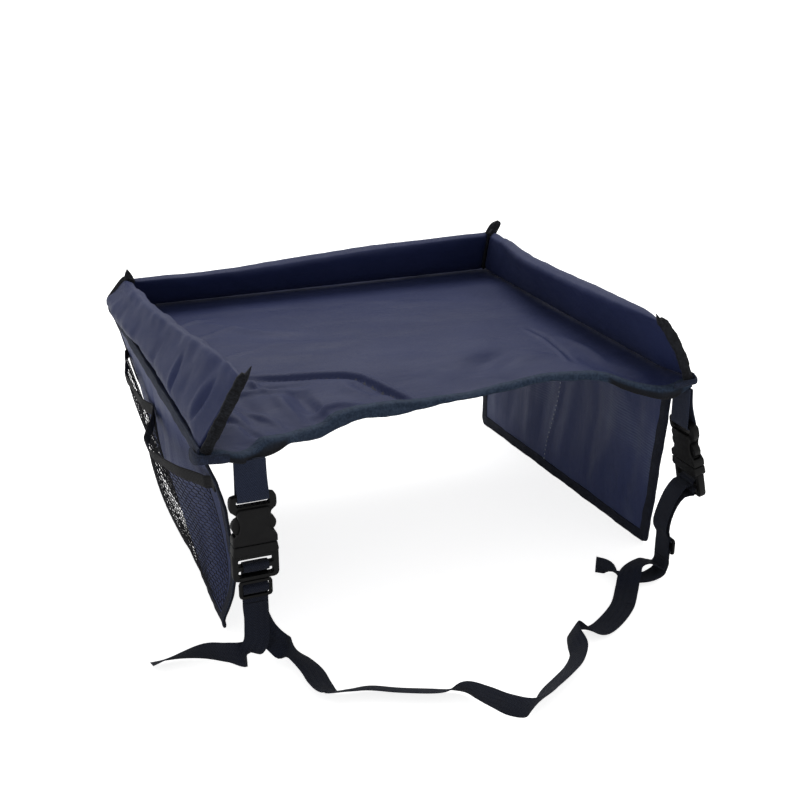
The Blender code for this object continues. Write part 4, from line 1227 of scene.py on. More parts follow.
    def pad(self, wall: Item, hand: int) -> None:
        """Swell, pucker and smooth one sleeve."""
        self.inflate(wall)
        smooth = wall.modifiers.new("smooth cloth", "SUBSURF")
        smooth.levels = 1
        smooth.render_levels = 1
        apply_modifiers(wall)
        self.puckered(wall, hand)
        self.settle(wall)

    def build_end_seam(self, side: Side, finishes: Finishes) -> None:
        """Make the black overlocked seam that closes a side wall at the front."""
        hand = side.value
        profile = self.profile(self.end_thickness, self.front_slant, 0.0012, 0.0012)
        low = min(p.y for p in profile)
        high = max(p.y for p in profile)
        rings = []
        bend = 0.0 if hand < 0 else 0.0035
        for step in range(41):
            share = step / 40
            height = mix(low - 0.001, high + 0.001, share)
            inward = mix(0.003, profile_inward(self.lean, high - low), share)
            bow = bend * math.sin(math.pi * share)
            middle = Vector((hand * (self.half - inward + bow), self.front + 0.0022, height))
            thick = 0.0036 + 0.0006 * wander(share * 22, 0.6)
            wide = 0.0042 + 0.0006 * wander(share * 17, 1.6)
            if share > 0.93:
                wide *= mix(1.0, 0.45, (share - 0.93) / 0.07)
            slope = Vector((hand * math.cos(self.lean), 0.0, math.sin(self.lean)))
            rings.append(oval(middle, slope * wide, Vector((0.0, thick * 0.62, 0.0)), 12, 0.7))
        seam = skin(rings)
        ear = self.ear(
            Vector((hand * (self.half - profile_inward(self.lean, high - low)), self.front + 0.0022, high - 0.003)),
            Vector((-hand * 0.55, -0.08, 1.0)), 0.0098, 0.0042,
        )
        merge(seam, ear)
        name = f"{side.word}_wall_end_seam"
        finish_piece(seam, name, finishes.seam_tape, "tray", [f"{side.word}_wall_end_binding"], 60)

    def ear(self, foot: Vector, lean: Vector, height: float, width: float, blunt: float = 1.4) -> Item:
        """Make a pinched point of tape that stands up from a seam's end."""
        lean = lean.normalized()
        wide = Vector((0.93, -0.35, 0.0)) if foot.y > 0 else Vector((0.35, 0.94, 0.0))
        thin = lean.cross(wide).normalized()
        rings = []
        for step in range(9):
            share = step / 8
            size = 1 - share ** blunt
            middle = foot + lean * height * share + wide * width * 0.35 * share
            rings.append(oval(middle, wide * (width * size + 0.0003), thin * (0.0019 * size + 0.0003), 10))
        return skin(rings)

    def build_corner(self, side: Side, finishes: Finishes) -> None:
        """Make the pinched mitre seam and its ear at a back corner."""
        hand = side.value
        profile = self.profile(self.thickness, self.corner_slant, 0.005, 0.0014)
        rings = []
        away = Vector((hand, -1.0, 0.0)).normalized()
        for turn in (-1.0, -0.5, 0.5, 1.0):
            shrink = 0.0 if abs(turn) < 1 else 0.0006
            ring = []
            middle = sum(profile, Vector((0.0, 0.0))) / len(profile)
            for p in profile:
                inner = p + (middle - p).normalized() * shrink
                inward = max(inner.x, -0.001)
                place = Vector((hand * (self.half - inward), self.back - inward, max(inner.y, self.floor)))
                ring.append(place + away * turn * 0.0011)
            rings.append(ring)
        seam = skin(rings)
        top = max(p.y for p in profile)
        inward = profile_inward(self.lean, top - self.floor) - 0.004
        foot = Vector((hand * (self.half - inward), self.back - inward, top - 0.006))
        lean = Vector((0.18, 0.2, 1.0)) if hand > 0 else Vector((0.1, 0.12, 1.0))
        ear = self.ear(foot, lean, *((0.0136, 0.0058, 7.0) if hand > 0 else (0.015, 0.0044, 1.8)))
        self.settle(merge(seam, ear))
        name = f"back_{side.word}_corner_seam"
        finish_piece(seam, name, finishes.seam_tape, "tray", [f"back_{side.word}_corner_binding"], 60)

    def strip_rings(self, places: list[tuple[Vector, Vector]], low: float, high: float) -> Rings:
        """Rings of a thin upright tape strip along a line of places with outward directions."""
        rings = []
        for index, (place, out) in enumerate(places):
            wave = 0.0005 * wander(index * 0.35, 0.3)
            shift = 0.0005 * wander(index * 0.21, 1.4)
            ring = []
            for share, depth in (
                (0.0, 0.0004), (0.0, 0.0016), (0.2, 0.002), (0.4, 0.0023), (0.6, 0.0023), (0.8, 0.002),
                (1.0, 0.0014), (1.0, 0.0002), (0.8, 0.0004), (0.6, 0.0004), (0.4, 0.0004), (0.2, 0.0004),
            ):
                ring.append(place + out * (depth + wave) + Vector((0.0, 0.0, mix(low, high, share) + shift)))
            rings.append(ring)
        return rings

    def build_base_strip(self, side: Side, finishes: Finishes) -> None:
        """Make the double-stitched strip along a side's lower edge and its folded end."""
        hand = side.value
        places = [
            (
                Vector((hand * (self.half + 0.0001), mix(self.front + 0.001, 0.1835, step / self.strip_steps), 0.0)),
                Vector((hand, 0, 0)),
            )
            for step in range(self.strip_steps + 1)
        ]
        strip = skin(self.strip_rings(places, 0.0008, 0.01))
        merge(strip, self.tape_end(side))
        name = f"{side.word}_base_strip"
        finish_piece(strip, name, finishes.base_tape, "tray", [f"{side.word}_base_binding"], 60)

    def tape_end(self, side: Side) -> Item:
        """Make the folded end of the front tape where it wraps a front corner."""
        hand = side.value
        rings = []
        path = (
            Vector((hand * 0.2035, self.front + 0.014, 0.0012)), Vector((hand * 0.203, self.front + 0.004, 0.0022)),
            Vector((hand * 0.1995, self.front - 0.003, 0.003)), Vector((hand * 0.19, self.front - 0.0036, 0.0026)),
            Vector((hand * 0.18, self.front - 0.0026, 0.0014)),
        )
        line = catmull_rom(path, 5)
        lift = Vector((0.0, 0.0, 0.002 if hand > 0 else 0.0))
        for index, centre in enumerate(line):
            share = index / (len(line) - 1)
            centre = centre + lift
            tall = (mix(0.0052, 0.003, share) + 0.0006 * math.sin(share * 9)) * (0.72 if hand > 0 else 1.0)
            run = (line[min(index + 1, len(line) - 1)] - line[max(index - 1, 0)]).normalized()
            out = run.cross(Vector((0, 0, 1))).normalized()
            rings.append(oval(centre, out * 0.0012, Vector((0.0, 0.0, tall)), 10))
        return skin(rings)

    def build_back_strip(self, finishes: Finishes) -> None:
        """Make the strip along the back's lower edge."""
        places = [
            (Vector((mix(-0.1985, 0.1985, step / self.strip_steps), self.back + 0.0002, 0.0)), Vector((0, 1, 0)))
            for step in range(self.strip_steps + 1)
        ]
        strip = skin(self.strip_rings(places, -0.0005, 0.01))
        finish_piece(strip, "back_base_strip", finishes.base_tape, "tray", ["back_base_binding"], 60)


def profile_inward(lean: float, rise: float) -> float:
    """Inward distance of a leaning wall at a height above its foot."""
    return rise * math.tan(lean)


def dress_node(name: str, material: Material) -> None:
    """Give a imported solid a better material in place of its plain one."""
    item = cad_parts[name]
    if not item.material_slots:
        item.data.materials.append(material)
    for place in item.material_slots:
        place.material = material


# ---- side flaps


@dataclass
class SideFlap:
    """A hanging flap with its edge tape, the net pocket on its outside and the elastic."""

    side: Side
    front_lean: float
    rear_lean: float
    front_bulge: float
    rear_bulge: float
    hinge_x: float = 0.1972
    hinge_z: float = -0.0007
    drop: float = 0.1738
    top_front: float = -0.166
    bottom_front: float = -0.128
    top_rear: float = 0.18
    bottom_rear: float = 0.186
    swell: float = 0.006
    cloth_inset: float = 0.003
    cloth_thickness: float = 0.0009
    elastic_width: float = 0.0098
    elastic_thickness: float = 0.0014
    stitch_count: int = 25
    tape_width: float = 0.01
    roll: float = 0.0012
    corner_round: float = 0.006
    mouth_drop: float = 0.04
    pocket_inset: float = 0.013
    divider_top: float = 0.5
    divider_low: float = 0.575
    net_columns: int = 96
    net_rows: int = 34
    yarn: float = 0.00066
    yarn_cover: float = 0.31
    curl: Table = ((0.0, 0.0), (1.0, 0.0))

    @property
    def hand(self) -> int:
        """Minus one on the left, one on the right."""
        return self.side.value

    @property
    def body(self) -> str:
        """The body that the flap swings with."""
        return f"{self.side.word}_flap"

    @property
    def length(self) -> float:
        """Length of the flap's sewn edge."""
        return self.top_rear - self.top_front

    def finish(self, item: Item, name: str, material: Material, node: str = "", angle: float = 60.0) -> None:
        """Finish a piece that swings with this flap."""
        word = self.side.word
        finish_piece(item, f"{word}_{name}", material, self.body, [f"{word}_{node}"] if node else (), angle)

    def edges(self, down: float) -> Pair:
        """Where the flap's front and rear edges stand at a share of the way down."""
        return mix(self.top_front, self.bottom_front, down), mix(self.top_rear, self.bottom_rear, down)

    def normal(self, back: float) -> Vector:
        """Outward direction of the flap at a place along it."""
        slope = mix(self.front_lean, self.rear_lean, back) / self.drop
        return Vector((self.hand, 0.0, slope)).normalized()

    def flat_place(self, along: float, down: float) -> Vector:
        """A point of the flap's plane from metres along the tray and metres down."""
        share = down / self.drop
        front, rear = self.edges(share)
        back = (along - front) / (rear - front)
        x = self.hand * (self.hinge_x + mix(self.front_lean, self.rear_lean, back) * share)
        return Vector((x, along, self.hinge_z - down))

    def surface(self, down: float, back: float, offset: float) -> Vector:
        """A point at a distance outside the flap's cloth."""
        place = self.flat_place(mix(*self.edges(down), back), down * self.drop)
        return place + self.normal(back) * (self.relief(down, back) + offset)

    def relief(self, down: float, back: float) -> float:
        """How far the cloth stands out of its plane, zero under the tape."""
        band_down = self.tape_width / self.drop
        band_back = self.tape_width / self.length
        low = min(max(down / (1 - band_down), 0.0), 1.0)
        along = min(max((back - band_back) / (1 - 2 * band_back), 0.0), 1.0)
        free = math.sin(math.pi * low) ** 2 * math.sin(math.pi * along) ** 2
        edge = min(1.0, (1 - low) * 7) * min(1.0, along * 9, (1 - along) * 9)
        folds = 0.0
        for middle, slant, width, rise in (
            (0.12, 0.05, 0.03, 1.6), (0.24, 0.1, 0.035, -1.4), (0.33, -0.04, 0.025, 1.3), (0.46, 0.06, 0.03, -1.7),
            (0.6, 0.1, 0.028, 1.5), (0.7, 0.02, 0.026, -1.3), (0.8, 0.08, 0.03, 1.5), (0.9, 0.05, 0.024, -1.0),
        ):
            drift = slant * (down - 0.5) + 0.012 * math.sin(down * 6 + middle * 9)
            folds += rise * hump(back - middle - drift, width)
        stitch = hump(back - mix(self.divider_top, self.divider_low, down), 0.012)
        rolled = read_table(self.curl, low if down < 1 else 1.0) * (1 - smooth_step(back / 0.3))
        folds = folds * min(down * 3.0, 1.0) - 0.9 * stitch * min(down * 6.0, 1.0)
        return self.swell * free + 0.0012 * folds * edge - rolled

    def build(self, finishes: Finishes) -> None:
        """Make the cloth, the tape, the net, the elastic and the divider stitches."""
        length = self.length
        inset_down, inset_back = self.cloth_inset / self.drop, self.cloth_inset / length
        start = 0.0008 / self.drop

        def cloth_point(u: float, v: float) -> Vector:
            """A point of the flap's cloth, whose edges lie inside the tape."""
            return self.surface(mix(start, 1 - inset_down, v), mix(inset_back, 1 - inset_back, u), 0.0)

        panel = patch(150, 80, cloth_point, (length, self.drop))
        thicken(panel, self.cloth_thickness)
        outwards(panel)
        self.finish(panel, "flap_cloth", finishes.flap, "flap_panel", 80)
        self.build_tape(finishes)
        self.build_net(finishes)
        self.build_elastic(finishes)
        self.build_stitches(finishes)

    def outline(self) -> list[tuple[Vector, Vector]]:
        """Edge places of the flap in its plane, each with its inward direction."""
        corners = [
            Vector((self.top_front, 0.0035)), Vector((self.bottom_front, self.drop)),
            Vector((self.bottom_rear, self.drop)), Vector((self.top_rear, 0.0035)),
        ]
        line: list[tuple[Vector, Vector]] = []
        for index in range(3):
            start, end = corners[index], corners[index + 1]
            run = (end - start).normalized()
            inward = Vector((run.y, -run.x))
            first = start + run * (self.corner_round if index else 0.0)
            last = end - run * (self.corner_round if index < 2 else 0.0)
            count = max(round((last - first).length / 0.0035), 8)
            for step in range(count + 1):
                line.append((first.lerp(last, step / count), inward))
            if index < 2:
                following = (corners[index + 2] - end).normalized()
                turned = Vector((following.y, -following.x))
                centre = last + inward * self.corner_round
                for step in range(1, 6):
                    way = inward.lerp(turned, step / 6).normalized()
                    line.append((centre - way * self.corner_round, way))
        return line

    def build_tape(self, finishes: Finishes) -> None:
        """Make the folded tape round the three free edges."""
        rings = []
        for index, (edge, inward) in enumerate(self.outline()):
            wave = 0.0006 * wander(index * 0.33, 0.7 + self.hand)
            width = self.tape_width + 0.0007 * wander(index * 0.21, 2.1)
            ring = []
            profile = (
                (-0.0011, 0.0), (-0.0008, 0.0009), (0.0, 0.0013), (0.35, 0.0014), (0.7, 0.0013), (1.0, 0.001),
                (1.0, 0.0002), (1.0, -0.0002), (1.0, -0.001), (0.7, -0.0013), (0.35, -0.0014), (0.0, -0.0013),
                (-0.0008, -0.0009),
            )
            for reach, depth in profile:
                distance = reach if reach < 0 else reach * width
                place = edge + inward * distance
                down = place.y / self.drop
                front, rear = self.edges(down)
                back = (place.x - front) / (rear - front)
                flat = self.flat_place(place.x, place.y)
                relief = self.relief(min(max(down, 0.0), 1.0), min(max(back, 0.0), 1.0))
                ring.append(flat + self.normal(back) * (depth + wave + relief))
            rings.append(ring)
        tape = skin(rings)
        merge(tape, self.hinge_roll())
        self.finish(tape, "flap_tape", finishes.dark_tape, "flap_binding")

    def hinge_roll(self) -> Item:
        """Make the rolled hem on the flap's swing line, which closes the joint at every angle."""
        start, finish = self.top_front + self.tape_width, self.top_rear - self.tape_width
        wide, deep = Vector((self.roll, 0.0, 0.0)), Vector((0.0, 0.0, self.roll))
        alongs = (mix(start, finish, step / 60) for step in range(61))
        return skin([oval(Vector((self.hand * self.hinge_x, y, self.hinge_z)), wide, deep, 12) for y in alongs])

    def bulge(self, back: float) -> float:
        """How far the pocket's mouth stands off the flap at a share along it."""
        middle = self.divider_top
        if back < middle:
            return self.front_bulge * math.sin(math.pi * back / middle) ** 1.15
        return self.rear_bulge * math.sin(math.pi * (back - middle) / (1 - middle))

    def net_point(self, u: float, v: float, lift: float = 0.0) -> Vector:
        """A point of the net from shares along the tray and down from the mouth."""
        near = self.pocket_inset / self.length
        top = self.mouth_drop / self.drop
        low = 1 - self.pocket_inset / self.drop
        along = mix(near, 1 - near, u)
        down = mix(top, low, v)
        sway = mix(self.divider_top, self.divider_low, down) - self.divider_top
        held = min(max(along - sway * v * 0.5, 0.0), 1.0)
        fall = (1 - v) ** 0.62
        ripple = 0.0012 * wander(u * 30, 1.0) * math.sin(math.pi * v) * math.sin(math.pi * u)
        return self.surface(down, along, 0.0012 + self.bulge(held) * fall + ripple + lift)

    def build_net(self, finishes: Finishes) -> None:
        """Knit the pocket's net as six-sided cells of yarn."""
        columns, rows = self.net_columns, self.net_rows
        deselect()
        bpy.ops.mesh.primitive_grid_add(x_subdivisions=columns, y_subdivisions=rows, size=1.0)
        item = bpy.context.object
        mesh = item.data
        bpy.ops.object.mode_set(mode="EDIT")
        bpy.ops.mesh.select_all(action="DESELECT")
        bpy.ops.mesh.select_mode(type="EDGE")
        bpy.ops.object.mode_set(mode="OBJECT")
        for edge in mesh.edges:
            first, second = (mesh.vertices[index].co for index in edge.vertices)
            upright = abs(first.x - second.x) < 1e-6
            column = round((first.x + 0.5) * columns)
            row = round((min(first.y, second.y) + 0.5) * rows)
            edge.select = upright and 0 < column < columns and (column + row) % 2 == 1
        bpy.ops.object.mode_set(mode="EDIT")
        bpy.ops.mesh.dissolve_edges(use_verts=False)
        bpy.ops.mesh.select_mode(type="VERT")
        bpy.ops.object.mode_set(mode="OBJECT")
        for vertex in mesh.vertices:
            u, v = vertex.co.x + 0.5, vertex.co.y + 0.5
            column, row = round(u * columns), round(v * rows)
            zig = 0.17 / rows * (1 if (column + row) % 2 == 0 else -1) if 0 < row < rows else 0.0
            loose = 0.1 / rows * wander(column * 1.9 + row * 3.7, 0.8)
            vertex.co = self.net_point(u, min(max(v + zig + loose * (0 < row < rows), 0.0), 1.0))
        mesh.update()
        wire = item.modifiers.new("yarn", "WIREFRAME")
        wire.thickness = self.yarn
        wire.use_even_offset = False
        wire.use_boundary = True
        apply_modifiers(item)
        outwards(item)
        self.finish(item, "net", finishes.net, "pocket_net", 80)

    def build_elastic(self, finishes: Finishes) -> None:
        """Make the elastic band along the pocket's mouth."""
        centres, across = [], []
        count = 120
        length = self.length
        for step in range(count + 1):
            share = mix(-0.03, 1.03, step / count)
            u = min(max(share, 0.0), 1.0)
            point = self.net_point(u, 0.0, 0.0012)
            if share != u:
                along = self.pocket_inset / length + share * (1 - 2 * self.pocket_inset / length)
                point = self.surface(self.mouth_drop / self.drop, along, 0.0022)
            tilt = 0.3 * math.sin(math.pi * 2 * u) * self.hand
            up = Vector((0.35 * self.hand * self.bulge(u) / 0.02, 0.0, 1.0))
            centres.append(point + Vector((0.0, 0.0, 0.0032)))
            across.append((up + Vector((0.0, tilt * 0.3, 0.0))).normalized())
        strip = band(centres, across, self.elastic_width, self.elastic_thickness, 8)
        self.finish(strip, "mouth_elastic", finishes.elastic, "pocket_elastic")

    def build_stitches(self, finishes: Finishes) -> None:
        """Sew the pale stitches of the pocket's divider through the flap."""
        made = []
        for step in range(self.stitch_count):
            down = mix(0.2, 0.93, step / (self.stitch_count - 1))
            back = mix(self.divider_top, self.divider_low, down)
            nose = self.surface(down, back, -0.0011)
            tail = self.surface(down + 0.011, back + 0.0008, -0.0011)
            deselect()
            bpy.ops.mesh.primitive_ico_sphere_add(subdivisions=1, radius=1.0)
            stitch = bpy.context.object
            run = tail - nose
            for vertex in stitch.data.vertices:
                corner = vertex.co.copy()
                vertex.co = (nose + tail) / 2 + run * corner.z * 0.5 + Vector((corner.x, corner.y, 0.0)) * 0.0005
            made.append(stitch)
        self.finish(merge(*made), "divider_stitches", finishes.thread, angle=40)


# ---- straps and buckles


@dataclass
class StrapSizes:
    """Sizes shared by the buckles, glides and webbing.

    The last eight follow from the others: heights in the buckle's frame, whose top is at
    zero, the glide's full height, and how far webbing lies from the middle of each.
    """

    belt_width: float = 0.019
    belt_thickness: float = 0.001
    layer_gap: float = 0.0004
    layer_pitch: float = 0.0017
    clearance: float = 0.0003
    tab_width: float = 0.023
    tab_thickness: float = 0.0012
    tab_spread: float = 0.0008
    frame_width: float = 0.0345
    frame_half: float = 0.003
    body_half: float = 0.0052
    top_bar: float = 0.0032
    top_slot: float = 0.005
    socket_length: float = 0.038
    cavity_width: float = 0.0256
    cavity_depth: float = 0.0066
    shoulder: float = 0.007
    ladder_bar: float = 0.0032
    ladder_slot: float = 0.0056
    ladder_slot_width: float = 0.0262
    glide_width: float = 0.0252
    glide_half: float = 0.0011
    glide_outer_bar: float = 0.0022
    glide_slot: float = 0.0036
    glide_centre_bar: float = 0.0028
    glide_slot_width: float = 0.02
    loop_end_drop: float = 0.012
    lead: float = 0.005
    shoulder_top: float = -(socket_length + clearance)
    ladder_top: float = shoulder_top - shoulder
    ladder_bottom: float = ladder_top - 0.022
    middle_bar: float = ladder_bottom + ladder_bar * 1.5 + ladder_slot
    slot_step: float = (ladder_bar + ladder_slot) / 2
    glide_height: float = 2 * glide_outer_bar + 2 * glide_slot + glide_centre_bar
    glide_depth: float = glide_half + clearance + belt_thickness / 2
    bar_depth: float = frame_half + clearance + belt_thickness / 2


@dataclass
class StrapChain:
    """One side's tab, side-release buckle, threaded webbing and glide."""

    side: Side
    place: Vector
    turn: Place
    glide_place: Vector
    glide_turn: Place
    tab_top: Vector
    arm_words: tuple[str, str]
    near_sag: Sequence[Place] = ()
    far_sag: Sequence[Place] = ()
    sizes: StrapSizes = field(default_factory=StrapSizes)

    @property
    def frame(self) -> Matrix:
        """The buckle's own frame in the tray's."""
        return Matrix.Translation(self.place) @ euler_matrix(self.turn)

    @property
    def glide_frame(self) -> Matrix:
        """The glide's own frame in the tray's."""
        return Matrix.Translation(self.glide_place) @ euler_matrix(self.glide_turn)

    def placed(self, item: Item, where: Matrix) -> Item:
        """Move a shape made in a local frame to its place in the tray's frame."""
        item.data.transform(where)
        item.data.update()
        return item

    def finish(self, item: Item, name: str, material: Material, body: str, node: str, angle: float = 60.0) -> None:
        """Finish a piece of this side's chain."""
        word = self.side.word
        finish_piece(item, f"{word}_{name}", material, body, [f"{word}_{node}"], angle)

    def build(self, finishes: Finishes) -> None:
        """Make every piece of the chain."""
        self.build_socket(finishes)
        self.build_plug(finishes)
        for word, hand in zip(self.arm_words, (1, -1)):
            self.build_arm(word, hand, finishes)
        self.build_glide(finishes)
        self.build_tab(finishes)
        self.build_loop(finishes)

    def build_socket(self, finishes: Finishes) -> None:
        """Make the female half: webbing bar, waisted shell and collar."""
        sizes = self.sizes
        half = sizes.frame_width / 2
        frame_outline = mirrored((
            (0.0132, 0.0), (0.0158, -0.0007), (0.0169, -0.0024), (half, -0.0048), (half, -0.0088),
            (0.0166, -0.0112), (0.0144, -0.013), (0.0122, -0.0152), (0.0114, -0.018),
        ))
        plate = shaped_plate(frame_outline, sizes.frame_half * 2, 0.0009, 3)
        slot = sizes.tab_width / 2 + 0.0008
        carve(plate, rounded_cutter(slot, sizes.top_bar, sizes.top_slot, 0.0009))
        shell_outline = mirrored((
            (0.0104, -0.0098), (0.012, -0.0112), (0.0126, -0.013), (0.0122, -0.0152),
            (0.0114, -0.0178), (0.0109, -0.0205), (0.0108, -0.0235), (0.0113, -0.0262), (0.0126, -0.0288),
            (0.0146, -0.0306), (0.016, -0.0318), (0.0165, -0.0334), (0.0165, -0.0372), (0.0158, -0.038),
        ))
        shell = shaped_plate(shell_outline, sizes.body_half * 2, 0.0011, 3)
        wide, deep = sizes.cavity_width / 2, sizes.cavity_depth / 2
        carve(shell, block(Vector((-wide, -deep, -0.04)), Vector((wide, deep, -0.0128))))
        carve(shell, block(Vector((-0.02, -deep, -0.0312)), Vector((0.02, deep, -0.015))))
        socket = merge(plate, shell)
        self.placed(socket, self.frame)
        self.finish(socket, "buckle_female", finishes.plastic, "belt", "buckle_socket", 35)

    def build_plug(self, finishes: Finishes) -> None:
        """Make the male half: shoulder, guide tongue and the open frame of bars."""
        sizes = self.sizes
        top, step, low = sizes.shoulder_top, sizes.ladder_top, sizes.ladder_bottom
        half = sizes.frame_width / 2
        shoulder = shaped_plate(mirrored((
            (0.015, top), (0.0162, top - 0.0008), (0.0165, top - 0.003), (0.017, step + 0.0014),
            (0.0166, step - 0.0004), (0.015, step - 0.0012),
        )), sizes.body_half * 2, 0.001, 3)
        open_frame = shaped_plate(mirrored((
            (0.016, step + 0.001), (half, step - 0.001), (half, low + 0.004), (0.0166, low + 0.002),
            (0.0152, low + 0.0006), (0.0132, low),
        )), sizes.frame_half * 2, 0.001, 3)
        for turn in (1, -1):
            middle = sizes.middle_bar + turn * sizes.slot_step
            carve(open_frame, rounded_cutter(
                sizes.ladder_slot_width / 2, -(middle + sizes.ladder_slot / 2), sizes.ladder_slot, 0.0008
            ))
        tongue = shaped_plate(mirrored((
            (0.0012, top + 0.0176), (0.0019, top + 0.016), (0.0019, top - 0.001),
        )), 0.0048, 0.0004, 1)
        plug = merge(shoulder, open_frame, tongue)
        self.placed(plug, self.frame)
        self.finish(plug, "buckle_male", finishes.plastic, f"{self.side.word}_plug", "buckle_plug", 35)

    def build_arm(self, word: str, hand: int, finishes: Finishes) -> None:
        """Make one springy arm with its curved, ribbed finger pad."""
        root = self.sizes.shoulder_top + 0.0003
        outline = [(0.0066, root), (0.0094, root), (0.0096, -0.034), (0.0112, -0.031), (0.0135, -0.0304)]
        for step in range(9):
            angle = math.radians(mix(-62, 66, step / 8))
            outline.append((0.0088 + 0.0076 * math.cos(angle), -0.0236 + 0.0068 * math.sin(angle)))
        outline += [(0.01, -0.0172), (0.008, -0.0176), (0.0068, -0.019), (0.0066, -0.03)]
        outline = [(hand * x, z) for x, z in outline]
        if hand < 0:
            outline.reverse()
        arm = shaped_plate(outline, 0.0056, 0.0005, 2)
        self.placed(arm, self.frame)
        body = f"{self.side.word}_arm_{word}"
        self.finish(arm, f"{word}_arm_pad", finishes.plastic, body, f"{word}_release_arm", 40)

    def build_glide(self, finishes: Finishes) -> None:
        """Make the flat three-bar glide."""
        sizes = self.sizes
        half, tall = sizes.glide_width / 2, sizes.glide_height / 2
        glide = shaped_plate(mirrored((
            (half - 0.0026, tall), (half - 0.0008, tall - 0.0007), (half, tall - 0.0026),
            (half, -tall + 0.0026), (half - 0.0008, -tall + 0.0007), (half - 0.0026, -tall),
        )), sizes.glide_half * 2, 0.0006, 3)
        step = (sizes.glide_centre_bar + sizes.glide_slot) / 2
        for turn in (1, -1):
            low = turn * step + sizes.glide_slot / 2
            carve(glide, rounded_cutter(sizes.glide_slot_width / 2, -low, sizes.glide_slot, 0.0006))
        self.placed(glide, self.glide_frame)
        self.finish(glide, "tri_glide", finishes.plastic, f"{self.side.word}_glide", "strap_glide", 40)

    def in_frame(self, through: Table, where: Matrix) -> list[Vector]:
        """Turn through-and-height places of a local frame into places of the tray's frame."""
        return [where @ Vector((0.0, across, height)) for across, height in through]

    def build_tab(self, finishes: Finishes) -> None:
        """Make the sewn webbing tab through the buckle's top bar."""
        sizes = self.sizes
        across = self.frame.to_3x3() @ Vector((1, 0, 0))
        through = self.frame.to_3x3() @ Vector((0, 1, 0))
        level = Vector((through.x, through.y, 0)).normalized()
        near = sizes.frame_half + sizes.clearance + sizes.tab_thickness / 2
        under = -(sizes.top_bar + sizes.clearance * 2 + sizes.tab_thickness / 2)
        loop = self.in_frame([
            (-near, 0.0), (-near, -sizes.top_bar), (-near * 0.62, under), (0.0, under), (near * 0.62, under),
            (near, -sizes.top_bar), (near, 0.0),
        ], self.frame)
        spread = (sizes.tab_thickness + sizes.tab_spread) / 2
        top = self.tab_top
        lead = [top - level * spread]
        tail = [top + level * spread]
        joined = (top.z + loop[0].z) / 2
        lead.append(lead[0].lerp(loop[0], 0.25))
        lead[-1].z = joined
        tail.insert(0, tail[-1].lerp(loop[-1], 0.25))
        tail[0].z = joined
        points = catmull_rom([*lead, *loop, *tail], 4)
        strap = band(points, [across] * len(points), sizes.tab_width, sizes.tab_thickness, 8)
        self.finish(strap, "tab_webbing", finishes.tab_webbing, "belt", "webbing_tab")

    def weave(self, middle: float, slot: float, depth: float, rising: bool) -> list[Pair]:
        """Places of webbing that passes a slot from back to front."""
        turn = 1 if rising else -1
        shares = ((1.0, 0.785), (0.95, 0.405), (0.45, 0.155), (-0.45, -0.155), (-0.95, -0.405))
        return [(depth * across, middle - turn * slot * along) for across, along in shares]

    def loop_line(self) -> list[Vector]:
        """The webbing's line up through the glide, over the plug's bar and down again."""
        sizes = self.sizes
        depth, half = sizes.glide_depth, sizes.glide_height / 2
        step = (sizes.glide_centre_bar + sizes.glide_slot) / 2
        up = [(depth, -sizes.loop_end_drop), (depth, -half)]
        up += self.weave(-step, sizes.glide_slot, depth, True)
        up.append((-depth, 0.0))
        up += list(reversed(self.weave(step, sizes.glide_slot, depth, False)))
        up.append((depth, half))
        near = sizes.bar_depth
        middle = sizes.middle_bar
        lower = middle - sizes.slot_step
        bar = sizes.ladder_bar / 2
        over = middle + bar + sizes.clearance * 2 + sizes.belt_thickness / 2
        low_bar = sizes.ladder_bottom + bar
        wrap = [(near, low_bar - bar), (near, low_bar)]
        wrap += self.weave(lower, sizes.ladder_slot, near, True)[1:]
        wrap += [
            (-near, middle), (-near, middle + bar), (-near * 0.62, over), (0.0, over), (near * 0.62, over),
            (near, middle + bar), (near + sizes.layer_gap, middle),
        ]
        outer = depth + sizes.layer_pitch
        far = near + sizes.layer_pitch
        points = self.in_frame(up, self.glide_frame)
        points += [Vector(place) for place in self.near_sag]
        points += self.in_frame(wrap, self.frame)
        if self.far_sag:
            points += [Vector(place) for place in self.far_sag]
        else:
            points += self.in_frame([(far, lower), (far, sizes.ladder_bottom)], self.frame)
        heights = (half, 0.0, -half, -sizes.loop_end_drop)
        points += self.in_frame([(outer, height) for height in heights], self.glide_frame)
        return points

    def build_loop(self, finishes: Finishes) -> None:
        """Make the webbing threaded over the plug's bar and down through the glide."""
        sizes = self.sizes
        across = self.frame.to_3x3() @ Vector((1, 0, 0))
        line = catmull_rom(self.loop_line(), 2)
        strap = band(line, [across] * len(line), sizes.belt_width, sizes.belt_thickness, 6)
        self.finish(strap, "threaded_webbing", finishes.webbing, f"{self.side.word}_plug", "belt_loop")

    def lead_points(self, depth: float) -> list[Vector]:
        """Two places of webbing hanging straight below the glide."""
        top = -(self.sizes.loop_end_drop + 0.0005)
        return self.in_frame([(depth, top), (depth, top - self.sizes.lead)], self.glide_frame)


def euler_matrix(turn: Place) -> Matrix:
    """A turn about X, Y and Z in order as a matrix."""
    return (
        Matrix.Rotation(turn[2], 4, "Z") @ Matrix.Rotation(turn[1], 4, "Y") @ Matrix.Rotation(turn[0], 4, "X")
    )


def mirrored(half: Table) -> list[Pair]:
    """Complete an outline from its right half."""
    return [*half, *((-x, z) for x, z in reversed(half))]


